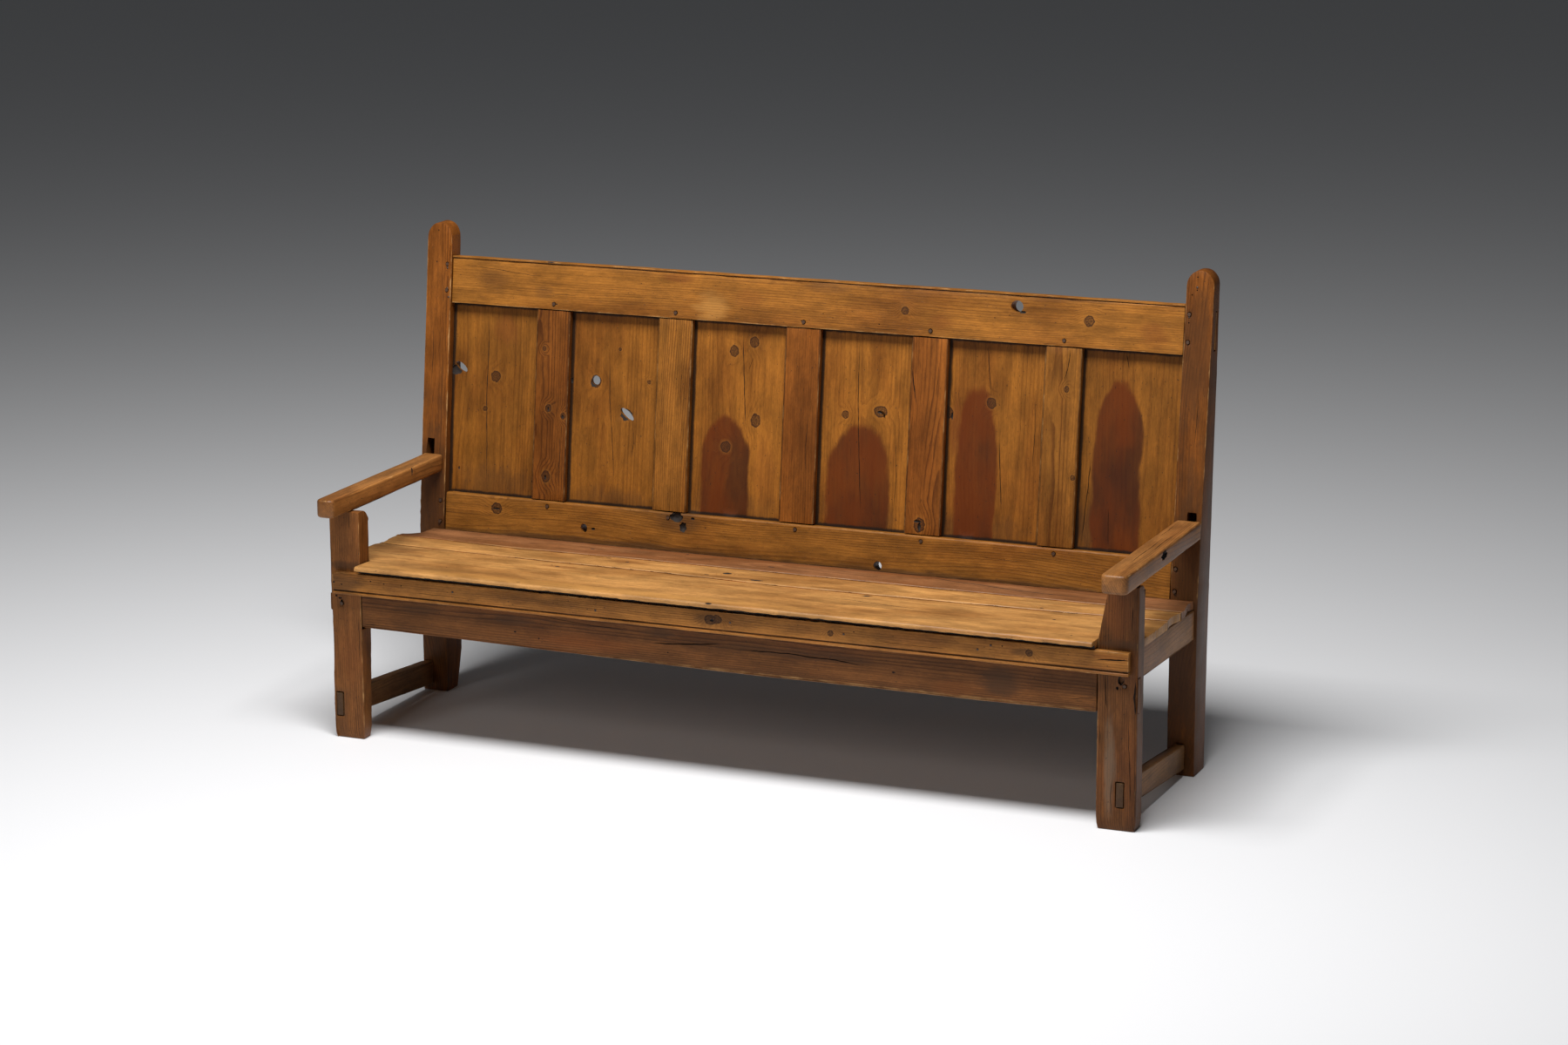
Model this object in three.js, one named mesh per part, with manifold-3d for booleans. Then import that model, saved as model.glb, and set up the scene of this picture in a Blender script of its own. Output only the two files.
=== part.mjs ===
// A pine panel-back settle: a framed back of six panels between two tall posts,
// a seat of three long boards on a pegged frame, and open arms on the front legs.
// Millimetres. X runs along the bench, Y from front to back and Z up.
// While the pieces are drawn, Y is zero at the front faces of the front legs.

import * as THREE from 'three';
import { mergeVertices } from 'three/addons/utils/BufferGeometryUtils.js';
import Module from 'manifold-3d';

const wasm = await Module();
wasm.setup();

// Overall sizes
const benchLength = 1952; // over the outer faces of the front legs
const benchHeight = 1137; // floor to the crown of the posts
const seatHeight = 424; // floor to the top of the seat's front edge
const seatDepth = 440; // front face of the legs to front face of the posts
const seatFall = 16; // how much lower the seat lies at the back
const backLeanDegrees = 6.56;
const jointGap = 0.3; // clearance left at every joint
const overrun = 20; // how far a cut runs past the wood it opens

// Front legs, the right one sawn wider than the left
const legDepth = 48;
const leftLegWidth = 81;
const rightLegWidth = 91;
const leftLegTopWidth = 81;
const rightLegTopWidth = 69;
const leftLegStepDepth = 4; // the left leg is pared back below this step
const leftLegStepHeight = 306;
const leftLegFootDepth = 37; // worn thinner towards the floor
const rightLegFootDepth = 48;
const legCornerRadius = 9;
const legShoulderRadius = 28; // rounded back corner under the arm
const legTenonWidth = 30; // tenon that enters the arm
const legTenonThickness = 12;
const legTenonLength = 24;
const legTenonSetback = 4;

// Back posts
const postWidth = 66;
const postInset = 2; // outer face of a post inside the outer face of its leg
const postFootDepth = 80;
const postSeatDepth = 91;
const postTopDepth = 44;
const postKneeLength = 60; // half the length of the curve at the seat
const postCrownRise = 36;
const postHornRise = 76.5; // crown over the top rail
const leftPostFootWear = 25; // back corner of the left foot worn off
const leftPostFootWearRise = 90;

// Arms
const armHeight = 587; // floor to the top of an arm
const armThickness = 43;
const armInnerInset = 62; // inner face of an arm inside the outer faces of the legs
const leftArmFrontWidth = 46;
const leftArmBackWidth = 53;
const rightArmFrontWidth = 61;
const rightArmBackWidth = 61;
const armOverhang = 86; // reach in front of the leg
const armCornerRadius = 17;
const armEdgeRadius = 7;
const armEdgeSteps = 4;
const armTenonInset = 26; // middle of the tenon inside the outer faces of the legs
const armTenonWidth = 18;
const armTenonShoulder = 8; // wood above and below the tenon
const armTenonLength = 40;
const leftArmMortiseSlack = 42; // open mortise left above each arm
const rightArmMortiseSlack = 23;

// Back rails, muntins and panels
const railSetback = 6; // rails behind the faces of the posts
const railThickness = 38;
const railRounding = 4;
const topRailHeight = 114;
const bottomRailRise = 73; // its top edge above the seat, along the lean
const railFootGap = 2; // bottom rail over the level of the seat's underside
const quirkDrop = 4.5; // scratched line below the top edge
const quirkWidth = 2.5;
const quirkDepth = 2;
const grooveSetback = 20; // face of a rail to the face of a panel
const panelThickness = 12;
const grooveDepth = 12;
const panelSlack = 2; // room left for a panel to swell in its groove
const railTenonShoulder = 14;
const topRailTenonShy = 0.5; // end of the through tenon inside the post's face
const bottomRailTenonLength = 48;
const muntinCount = 5;
const muntinShiftShares = [-0.009, -0.016, 0, -0.019, -0.013]; // of the even spacing
const muntinWidth = 88;
const muntinThickness = 34;
const muntinSetback = 2;
const muntinEdge = 2;
const muntinTenonWidth = 60;
const muntinTenonLength = 34;

// Seat
const nosingOverhang = 34; // front board in front of the legs
const nosingRadius = 8;
const seatBoardThickness = 20;
const frontBoardWidth = 248;
const middleBoardWidth = 106;
const boardGap = 2;
const boardEdge = 1.5;
const seatEndInset = 1;
const legNotchGap = 1;
const wornEndWidth = 38; // worn off the left end of the rear board
const wornEndLength = 93;
const wornEndRun = 42;
const mouldingHeight = 54;
const mouldingDepth = 18;
const mouldingEndInset = 16;
const mouldingBeadRadius = 4.5;
const mouldingQuirkWidth = 2.5;
const mouldingEdge = 2;

// Seat frame
const apronHeight = 138;
const apronThickness = 28;
const apronTenonHeight = 76;
const apronTenonThickness = 14;
const apronTenonSetback = 7;
const apronTenonShoulder = 2;
const sideRailHeight = 70;
const sideRailThickness = 28;
const sideRailInset = 6;
const sideRailTenonThickness = 12;
const sideRailTenonHeight = 40;
const sideRailTenonDrop = 14;
const sideRailFrontTenonLength = 24;
const sideRailBackTenonLength = 34;
const rearRailHeight = 66;
const rearRailThickness = 30;
const rearRailGap = 3; // below the bottom rail
const rearRailTenonThickness = 14;
const rearRailTenonShoulder = 10;
const rearRailTenonLength = 36;
const bearerOffset = 317; // either side of the middle
const bearerWidth = 44;
const bearerHeight = 58;
const bearerHousing = 10;
const frameEdge = 2;

// Low stretchers
const stretcherHeight = 58;
const stretcherThickness = 26;
const stretcherFrontHeight = 81; // its middle at the front of the leg
const stretcherFall = 36;
const leftStretcherInset = 0; // from the pared face of the left leg
const rightStretcherInset = 24;
const stretcherTenonThickness = 18;
const stretcherTenonShoulder = 1;
const stretcherTenonLength = 40;

// Pegs
const pegRadius = 4;
const pegTipRadius = 3.7;
const pegProud = 0.8;
const pegBite = 3; // past the tenon
const pegSides = 10;
const postPegInset = 11; // from the inner face of a post
const postPegRise = 16; // over the foot of a rail tenon
const postPegDrop = 8; // below the top of a rail tenon
const muntinPegInset = 14; // from the edge of a rail
const apronPegInset = 30; // from the outer face of a leg
const apronPegDrop = 18; // below the top of the tenon

// Knot holes that go right through. Each lies a share of the way from the middle to a
// post, and a share of the way up its piece. Its sizes are shares of a plain knot hole.
const knotHoleSize = 20;
const knotHoleSides = 14;
const topRailKnotShares = [{ across: 0.568, up: 0.73, width: 1.35, height: 1.25, turnDegrees: 0 }];
const bottomRailKnotShares = [
  { across: -0.594, up: 0.44, width: 0.75, height: 1, turnDegrees: 10 },
  { across: 0.229, up: 0.22, width: 0.9, height: 1, turnDegrees: 0 },
];
const panelKnotShares = {
  back_panel_1: [{ across: -0.976, up: 0.656, width: 1.7, height: 0.7, turnDegrees: -36 }],
  back_panel_2: [
    { across: -0.584, up: 0.641, width: 1, height: 1, turnDegrees: 0 },
    { across: -0.492, up: 0.483, width: 2, height: 0.7, turnDegrees: -38 },
  ],
};

// Colours of the old waxed pine, by where it sits on the bench
const finishes = {
  amber: { color: 0xa9713a, roughness: 0.55, metalness: 0 },
  seat: { color: 0xb78048, roughness: 0.6, metalness: 0 },
  brown: { color: 0x6f4a2d, roughness: 0.65, metalness: 0 },
  peg: { color: 0x4a2f1c, roughness: 0.7, metalness: 0 },
};

// Lines that the pieces share
const halfLength = benchLength / 2;
const backLean = THREE.MathUtils.degToRad(backLeanDegrees);
const seatTilt = Math.atan(seatFall / (seatDepth + nosingOverhang));
const postOuter = halfLength - postInset;
const postInner = postOuter - postWidth;
const legTop = armHeight - armThickness - jointGap;
const armInner = halfLength - armInnerInset;
const seatTopAt = (y) => seatHeight - (y + nosingOverhang) * Math.tan(seatTilt);
const seatUndersideAt = (y) => seatTopAt(y) - seatBoardThickness / Math.cos(seatTilt);
const postFrontAt = (z) => seatDepth + Math.max(0, z - seatHeight) * Math.tan(backLean);
const legWidthAt = (side) => (side < 0 ? leftLegWidth : rightLegWidth);
const legInnerAt = (side) => side * (halfLength - legWidthAt(side));
const legFootDepthAt = (side) => (side < 0 ? leftLegFootDepth : rightLegFootDepth);
const legFootOuterAt = (side) => side * (halfLength - (side < 0 ? leftLegStepDepth : 0));
const armFrontOuterAt = (side) => side * (armInner + (side < 0 ? leftArmFrontWidth : rightArmFrontWidth));
const armBackOuterAt = (side) => side * (armInner + (side < 0 ? leftArmBackWidth : rightArmBackWidth));
const legTenonMiddleAt = (side) => (side * armInner + armFrontOuterAt(side)) / 2;
const armTenonMiddleAt = (side) => side * (halfLength - armTenonInset);
const sideName = (side) => (side < 0 ? 'left' : 'right');
const sides = [-1, 1];

// Heights of the seat frame, and of the back's lowest edge
const railFootHeight = seatUndersideAt(seatDepth) + railFootGap;
const apronTop = seatUndersideAt(apronThickness) - jointGap;
const apronLow = apronTop - apronHeight;
const rearRailTop = railFootHeight - rearRailGap;
const rearRailLow = rearRailTop - rearRailHeight;

// The seat and the back are drawn level and upright, and their groups tilt them
const bench = new THREE.Group();
const seatGroup = new THREE.Group();
seatGroup.position.set(0, -nosingOverhang, seatHeight);
seatGroup.rotation.x = -seatTilt;
const backGroup = new THREE.Group();
backGroup.position.set(0, seatDepth + railSetback, seatHeight);
backGroup.rotation.x = -backLean;
bench.add(seatGroup, backGroup);

// Heights up the leaning back, from the level of the seat
const bottomRailLow = (railFootHeight + railThickness * Math.sin(backLean) - seatHeight) / Math.cos(backLean);
const bottomRailTop = bottomRailRise;
const topRailTop = (benchHeight - postHornRise - seatHeight) / Math.cos(backLean);
const topRailLow = topRailTop - topRailHeight;
const grooveBack = grooveSetback + panelThickness;
const muntinPitch = (2 * postInner + muntinWidth) / (muntinCount + 1);
const muntinIndexes = Array.from({ length: muntinCount }, (_, index) => index);
const muntinMiddleAt = (index) =>
  (index - (muntinCount - 1) / 2 + (muntinShiftShares[index] ?? 0)) * muntinPitch;

// Solids and their meshes

/** Turns a closed geometry into a solid that can be cut. */
function solidOf(geometry) {
  const bare = geometry.clone();
  bare.deleteAttribute('normal');
  bare.deleteAttribute('uv');
  const merged = mergeVertices(bare);
  return new wasm.Manifold(new wasm.Mesh({
    numProp: 3,
    vertProperties: new Float32Array(merged.attributes.position.array),
    triVerts: new Uint32Array(merged.index.array),
  }));
}

/** Turns a solid back into a geometry with flat faces. */
function geometryOf(solid) {
  const cut = solid.getMesh();
  const shared = new THREE.BufferGeometry();
  shared.setAttribute('position', new THREE.BufferAttribute(cut.vertProperties, 3));
  shared.setIndex(new THREE.BufferAttribute(cut.triVerts, 1));
  const geometry = shared.toNonIndexed();
  geometry.computeVertexNormals();
  return geometry;
}

/** Moves a geometry drawn in one frame of the bench into another. */
function carried(geometry, from, to) {
  from.updateMatrix();
  to.updateMatrix();
  const move = new THREE.Matrix4();
  if (to !== bench) move.copy(to.matrix).invert();
  if (from !== bench) move.multiply(from.matrix);
  return geometry.clone().applyMatrix4(move);
}

/** Cuts a list of tools out of a solid. */
function cutBy(solid, tools) {
  return tools.reduce((rest, tool) => rest.subtract(solidOf(tool)), solid);
}

/** Adds a list of geometries to a solid. */
function joinedTo(solid, extras) {
  return extras.reduce((whole, extra) => whole.add(solidOf(extra)), solid);
}

/** Adds one named piece to a group. */
function addPiece(group, name, solid, finish) {
  const mesh = new THREE.Mesh(geometryOf(solid), new THREE.MeshStandardMaterial(finishes[finish]));
  mesh.name = name;
  group.add(mesh);
  return mesh;
}

// Shapes

/** A square-edged block between two corners, given in either order. */
function block(xs, ys, zs) {
  const spans = [xs, ys, zs].map(([a, b]) => Math.abs(b - a));
  const middles = [xs, ys, zs].map(([a, b]) => (a + b) / 2);
  return new THREE.BoxGeometry(...spans).translate(...middles);
}

/** Extrudes an outline drawn in Y and Z from one X to the other. */
function alongX(outline, x0, x1) {
  const turn = new THREE.Matrix4().makeBasis(
    new THREE.Vector3(0, 1, 0), new THREE.Vector3(0, 0, 1), new THREE.Vector3(1, 0, 0));
  return new THREE.ExtrudeGeometry(outline, { depth: Math.abs(x1 - x0), bevelEnabled: false })
    .applyMatrix4(turn).translate(Math.min(x0, x1), 0, 0);
}

/** Extrudes an outline drawn in X and Z from one Y to the other. */
function alongY(outline, y0, y1) {
  return new THREE.ExtrudeGeometry(outline, { depth: Math.abs(y1 - y0), bevelEnabled: false })
    .rotateX(Math.PI / 2).translate(0, Math.max(y0, y1), 0);
}

/** Extrudes an outline drawn in X and Y from one Z to the other. */
function alongZ(outline, z0, z1) {
  return new THREE.ExtrudeGeometry(outline, { depth: Math.abs(z1 - z0), bevelEnabled: false })
    .translate(0, 0, Math.min(z0, z1));
}

/** A closed outline through points given as [first, second] pairs. */
function outlineOf(points) {
  return new THREE.Shape(points.map(([a, b]) => new THREE.Vector2(a, b)));
}

/** A rectangle whose four corners are planed off. */
function easedRectangle(a0, a1, b0, b1, edge) {
  return outlineOf([
    [a0 + edge, b0], [a1 - edge, b0], [a1, b0 + edge], [a1, b1 - edge],
    [a1 - edge, b1], [a0 + edge, b1], [a0, b1 - edge], [a0, b0 + edge],
  ]);
}

/** An oval bar along Y that cuts a knot hole in a piece between two heights. */
function knotBar(share, low, high) {
  const bar = new THREE.CylinderGeometry(1, 1, railThickness + 2 * overrun, knotHoleSides);
  bar.scale(share.width * knotHoleSize / 2, 1, share.height * knotHoleSize / 2);
  bar.rotateY(-THREE.MathUtils.degToRad(share.turnDegrees));
  return bar.translate(share.across * postInner, railThickness / 2, low + share.up * (high - low));
}

// Joints: each function draws a tenon, and with slack the mortise that takes it

function apronTenon(side, slack) {
  const low = apronLow + apronTenonShoulder;
  return block(
    [legInnerAt(side) - side * overrun, legFootOuterAt(side) + (slack ? side * overrun : 0)],
    [apronTenonSetback - slack, apronTenonSetback + apronTenonThickness + slack],
    [low - slack, low + apronTenonHeight + slack]);
}

function sideRailTenon(side, slack) {
  const middle = side * (postOuter - sideRailInset - sideRailThickness / 2);
  const ends = [
    [legDepth - sideRailFrontTenonLength - slack, legDepth + overrun],
    [seatDepth - overrun, seatDepth + sideRailBackTenonLength + slack],
  ];
  return ends.map(([near, far], index) => {
    const top = seatUndersideAt(index ? seatDepth : legDepth) - sideRailTenonDrop;
    return block(
      [middle - sideRailTenonThickness / 2 - slack, middle + sideRailTenonThickness / 2 + slack],
      [near, far],
      [top - sideRailTenonHeight - slack, top + slack]);
  });
}

function rearRailTenon(side, slack) {
  const near = seatDepth + railSetback + (rearRailThickness - rearRailTenonThickness) / 2;
  const low = rearRailLow + rearRailTenonShoulder;
  const high = rearRailTop - rearRailTenonShoulder;
  return block(
    [side * (postInner - overrun), side * (postInner + rearRailTenonLength + slack)],
    [near - slack, near + rearRailTenonThickness + slack],
    [low - slack, high + slack]);
}

function topRailTenon(side, slack) {
  return block(
    [side * (postInner - overrun), side * (slack ? postOuter + overrun : postOuter - topRailTenonShy)],
    [grooveSetback - slack, grooveBack + slack],
    [topRailLow + railTenonShoulder - slack, topRailTop - railTenonShoulder + slack]);
}

function bottomRailTenon(side, slack) {
  return block(
    [side * (postInner - overrun), side * (postInner + bottomRailTenonLength + slack)],
    [grooveSetback - slack, grooveBack + slack],
    [bottomRailLow + railTenonShoulder - slack, bottomRailTop - railTenonShoulder + slack]);
}

function muntinTenons(middle, slack) {
  const spans = [
    [bottomRailTop - muntinTenonLength - slack, bottomRailTop + overrun],
    [topRailLow - overrun, topRailLow + muntinTenonLength + slack],
  ];
  return spans.map((span) => block(
    [middle - muntinTenonWidth / 2 - slack, middle + muntinTenonWidth / 2 + slack],
    [grooveSetback - slack, grooveBack + slack],
    span));
}

function armTenon(side, slack) {
  const low = armHeight - armThickness + armTenonShoulder;
  const high = armHeight - armTenonShoulder;
  const mortiseSlack = side < 0 ? leftArmMortiseSlack : rightArmMortiseSlack;
  return block(
    [armTenonMiddleAt(side) - armTenonWidth / 2 - slack, armTenonMiddleAt(side) + armTenonWidth / 2 + slack],
    [postFrontAt(armHeight) - overrun, postFrontAt(armHeight) + armTenonLength + slack],
    [low - slack, high + (slack ? mortiseSlack : 0)]);
}

function legTenon(side, slack) {
  return block(
    [legTenonMiddleAt(side) - legTenonWidth / 2 - slack, legTenonMiddleAt(side) + legTenonWidth / 2 + slack],
    [legTenonSetback - slack, legTenonSetback + legTenonThickness + slack],
    [legTop - overrun, legTop + legTenonLength + slack]);
}

/** The bar of a low stretcher that its two tenons are cut from, in its own frame. */
function stretcherTenonBar(slack) {
  const halfTall = stretcherHeight / 2 - stretcherTenonShoulder;
  return block(
    [-stretcherTenonThickness / 2 - slack, stretcherTenonThickness / 2 + slack],
    [-overrun, seatDepth + stretcherTenonLength + overrun],
    [-halfTall - slack, halfTall + slack]);
}

function bearerBar(side, slack) {
  const top = -seatBoardThickness - jointGap;
  return block(
    [side * bearerOffset - bearerWidth / 2 - slack, side * bearerOffset + bearerWidth / 2 + slack],
    [0, nosingOverhang + seatDepth + railSetback + bearerHousing + overrun],
    [top - bearerHeight - slack, slack ? top + overrun : top]);
}

/** How far a seat bearer reaches into the apron and the rear rail. */
function bearerSpan(slack) {
  const near = apronThickness - bearerHousing + jointGap - slack;
  const far = seatDepth + railSetback + bearerHousing - jointGap + slack;
  return block([-halfLength, halfLength], [near, far], [0, seatHeight]);
}

/** The space that a seat bearer's ends take in the apron and the rear rail. */
function bearerHousingAt(side) {
  const bar = solidOf(carried(bearerBar(side, jointGap), seatGroup, bench));
  return geometryOf(bar.intersect(solidOf(bearerSpan(jointGap))));
}

// Pegs: each place is a middle line along Y, with the piece that it starts on

function postPegPlaces(side) {
  const x = side * (postInner + postPegInset);
  const near = -railSetback;
  const far = grooveBack + pegBite;
  const heights = [[bottomRailLow, bottomRailTop], [topRailLow, topRailTop]].flatMap(([low, top]) => [
    low + railTenonShoulder + postPegRise,
    top - railTenonShoulder - postPegDrop,
  ]);
  return heights.map((z) => ({ x, z, near, far }));
}

function muntinPegPlaces(index) {
  const x = muntinMiddleAt(index);
  const far = grooveBack + pegBite;
  return [bottomRailTop - muntinPegInset, topRailLow + muntinPegInset].map((z) => ({ x, z, near: 0, far }));
}

function apronPegPlace(side) {
  const z = apronLow + apronTenonShoulder + apronTenonHeight - apronPegDrop;
  const far = apronTenonSetback + apronTenonThickness + pegBite;
  return { x: side * (halfLength - apronPegInset), z, near: 0, far };
}

/** The hole that takes a peg, drawn in the frame of its place. */
function pegHole(place) {
  const radius = pegRadius + jointGap;
  const length = place.far - place.near + overrun + jointGap;
  return new THREE.CylinderGeometry(radius, radius, length, pegSides)
    .translate(place.x, place.far + jointGap - length / 2, place.z);
}

function addPeg(group, name, place) {
  const length = place.far - place.near + pegProud;
  const peg = new THREE.CylinderGeometry(pegTipRadius, pegRadius, length, pegSides);
  const mesh = addPiece(group, name, solidOf(peg.translate(0, length / 2, 0)), 'peg');
  mesh.position.set(place.x, place.near - pegProud, place.z);
}

// Low stretchers: each has its own sloping frame, from the front of the leg to the post
const stretcherFrames = sides.map((side) => {
  const frame = new THREE.Group();
  const inset = side < 0 ? leftStretcherInset : rightStretcherInset;
  const middle = legFootOuterAt(side) - side * (inset + stretcherThickness / 2);
  frame.position.set(middle, 0, stretcherFrontHeight);
  frame.rotation.x = -Math.atan(stretcherFall / seatDepth);
  bench.add(frame);
  return frame;
});

function addStretcher(side, frame) {
  const [halfThick, halfTall] = [stretcherThickness / 2, stretcherHeight / 2];
  const section = easedRectangle(-halfThick, halfThick, -halfTall, halfTall, frameEdge);
  const bar = alongY(section, -overrun, seatDepth + stretcherTenonLength + overrun);
  const body = solidOf(bar).intersect(solidOf(carried(betweenFeet(side), bench, frame)));
  const reach = block([-halfLength, halfLength], [0, seatDepth + stretcherTenonLength], [0, seatHeight]);
  const tenons = solidOf(stretcherTenonBar(0)).intersect(solidOf(carried(reach, bench, frame)));
  addPiece(frame, `low_stretcher_${sideName(side)}`, body.add(tenons), 'brown');
}

/** The space between a leg's back face, which may slope, and the post behind it. */
function betweenFeet(side) {
  const view = outlineOf([
    [legFootDepthAt(side) + jointGap, 0], [seatDepth - jointGap, 0],
    [seatDepth - jointGap, apronLow], [legDepth + jointGap, apronLow],
  ]);
  return alongX(view, -halfLength, halfLength);
}

// Front legs

function legOutline(side) {
  const outer = side * halfLength;
  const inner = legInnerAt(side);
  const topWidth = side < 0 ? leftLegTopWidth : rightLegTopWidth;
  const stepHeight = leftLegStepHeight;
  return outlineOf([
    [inner, 0], [inner, seatHeight], [side * (halfLength - topWidth), legTop], [outer, legTop],
    [outer, stepHeight], [legFootOuterAt(side), stepHeight], [legFootOuterAt(side), 0],
  ]);
}

/** Plan of a leg: square at the inner face and rounded at the outer one. */
function legPlan(side) {
  const outer = side * halfLength;
  const corner = side * (halfLength - legCornerRadius);
  const inner = side * (halfLength - legWidthAt(side) - overrun);
  const plan = new THREE.Shape();
  plan.moveTo(inner, 0);
  plan.lineTo(corner, 0);
  plan.quadraticCurveTo(outer, 0, outer, legCornerRadius);
  plan.lineTo(outer, legDepth - legCornerRadius / 2);
  plan.quadraticCurveTo(outer, legDepth, side * (halfLength - legCornerRadius / 2), legDepth);
  plan.lineTo(inner, legDepth);
  return plan;
}

/** Side view of a leg, with the rounded shoulder behind the arm. */
function legSideView(side) {
  const view = new THREE.Shape();
  view.moveTo(0, 0);
  view.lineTo(legFootDepthAt(side), 0);
  view.lineTo(legDepth, apronLow);
  view.lineTo(legDepth, legTop - legShoulderRadius);
  view.absarc(legDepth - legShoulderRadius, legTop - legShoulderRadius, legShoulderRadius, 0, Math.PI / 2);
  view.lineTo(0, legTop);
  return view;
}

function addLeg(side, frame) {
  const front = solidOf(alongY(legOutline(side), -overrun, legDepth + overrun));
  const plan = solidOf(alongZ(legPlan(side), 0, legTop));
  const shoulder = solidOf(alongX(legSideView(side), -halfLength - overrun, halfLength + overrun));
  const tools = [
    apronTenon(side, jointGap),
    sideRailTenon(side, jointGap)[0],
    carried(stretcherTenonBar(jointGap), frame, bench),
    pegHole(apronPegPlace(side)),
  ];
  const leg = joinedTo(front.intersect(plan).intersect(shoulder), [legTenon(side, 0)]);
  addPiece(bench, `front_leg_${sideName(side)}`, cutBy(leg, tools), 'brown');
}

// Back posts

/** Side view of a post: upright to the seat, then leaning and tapering. */
function postSideView(side) {
  const wear = side < 0 ? leftPostFootWear : 0;
  const lean = Math.tan(backLean);
  const topFront = postFrontAt(benchHeight);
  const view = new THREE.Shape();
  view.moveTo(seatDepth, 0);
  view.lineTo(seatDepth, seatHeight - postKneeLength);
  view.quadraticCurveTo(
    seatDepth, seatHeight, seatDepth + postKneeLength * lean, seatHeight + postKneeLength);
  view.lineTo(topFront, benchHeight);
  view.lineTo(topFront + postTopDepth, benchHeight);
  view.lineTo(seatDepth + postSeatDepth, seatHeight);
  view.lineTo(seatDepth + postFootDepth, wear ? leftPostFootWearRise : 0);
  view.lineTo(seatDepth + postFootDepth - wear, 0);
  return view;
}

/** Front view of a post, with its arched crown. */
function postFrontView(side) {
  const middle = side * (postInner + postWidth / 2);
  const half = postWidth / 2;
  const view = new THREE.Shape();
  view.moveTo(middle - half, 0);
  view.lineTo(middle + half, 0);
  view.lineTo(middle + half, benchHeight - postCrownRise);
  view.absellipse(middle, benchHeight - postCrownRise, half, postCrownRise, 0, Math.PI);
  return view;
}

function addPost(side, frame) {
  const shape = solidOf(alongX(postSideView(side), side * postInner, side * postOuter));
  const crown = solidOf(alongY(postFrontView(side), 0, seatDepth + postSeatDepth + benchHeight));
  const panelGroove = block(
    [side * (postInner - overrun), side * (postInner + grooveDepth)],
    [grooveSetback - jointGap, grooveBack + jointGap],
    [bottomRailTop - railTenonShoulder, topRailLow + railTenonShoulder]);
  const leaning = [
    topRailTenon(side, jointGap), bottomRailTenon(side, jointGap), panelGroove,
    ...postPegPlaces(side).map(pegHole),
  ];
  const tools = [
    ...leaning.map((tool) => carried(tool, backGroup, bench)),
    sideRailTenon(side, jointGap)[1],
    rearRailTenon(side, jointGap),
    armTenon(side, jointGap),
    stretcherPostMortise(frame),
  ];
  addPiece(bench, `back_post_${sideName(side)}`, cutBy(shape.intersect(crown), tools), 'amber');
}

/** The blind mortise that takes a low stretcher's back tenon. */
function stretcherPostMortise(frame) {
  const bar = solidOf(carried(stretcherTenonBar(jointGap), frame, bench));
  const end = seatDepth + stretcherTenonLength + jointGap;
  const deep = block([-halfLength, halfLength], [seatDepth - overrun, end], [0, seatHeight]);
  return geometryOf(bar.intersect(solidOf(deep)));
}

// Arms

/** Plan of an arm inside its rounded edge, from the front end to past the post. */
function armPlan(side) {
  const front = -armOverhang + armEdgeRadius;
  const back = postFrontAt(armHeight) + overrun;
  const corner = armCornerRadius - armEdgeRadius;
  const inner = side * (armInner + armEdgeRadius);
  const outerFront = armFrontOuterAt(side) - side * armEdgeRadius;
  const outerBack = armBackOuterAt(side) - side * armEdgeRadius;
  const plan = new THREE.Shape();
  plan.moveTo(inner, back);
  plan.lineTo(inner, front + corner);
  plan.quadraticCurveTo(inner, front, inner + side * corner, front);
  plan.lineTo(outerFront - side * corner, front);
  plan.quadraticCurveTo(outerFront, front, outerFront, front + corner);
  plan.lineTo(outerBack, back);
  return plan;
}

function addArm(side) {
  const rounded = new THREE.ExtrudeGeometry(armPlan(side), {
    depth: armThickness - 2 * armEdgeRadius,
    bevelThickness: armEdgeRadius,
    bevelSize: armEdgeRadius,
    bevelSegments: armEdgeSteps,
    curveSegments: 6,
  }).translate(0, 0, armHeight - armThickness + armEdgeRadius);
  const postFace = block(
    [-halfLength - overrun, halfLength + overrun], [-railSetback - jointGap, postSeatDepth], [0, topRailTop]);
  const bar = cutBy(solidOf(rounded), [carried(postFace, backGroup, bench), legTenon(side, jointGap)]);
  addPiece(bench, `arm_${sideName(side)}`, joinedTo(bar, [armTenon(side, 0)]), 'amber');
}

// Seat frame

function addApron() {
  const ends = sides.map((side) => legInnerAt(side) - side * jointGap);
  const section = easedRectangle(0, apronThickness, apronLow, apronTop, frameEdge);
  const apron = joinedTo(solidOf(alongX(section, ...ends)), sides.map((side) => apronTenon(side, 0)));
  const tools = sides.flatMap((side) => [bearerHousingAt(side), pegHole(apronPegPlace(side))]);
  addPiece(bench, 'front_apron', cutBy(apron, tools), 'brown');
}

function addSideRail(side) {
  const middle = side * (postOuter - sideRailInset - sideRailThickness / 2);
  const half = sideRailThickness / 2;
  const top = -seatBoardThickness - jointGap;
  const section = easedRectangle(middle - half, middle + half, top - sideRailHeight, top, frameEdge);
  const long = solidOf(alongY(section, 0, nosingOverhang + seatDepth + overrun));
  const span = block([-halfLength, halfLength], [legDepth + jointGap, seatDepth - jointGap], [0, seatHeight]);
  const body = long.intersect(solidOf(carried(span, bench, seatGroup)));
  const tenons = sideRailTenon(side, 0).map((tenon) => carried(tenon, bench, seatGroup));
  addPiece(seatGroup, `side_seat_rail_${sideName(side)}`, joinedTo(body, tenons), 'brown');
}

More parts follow.
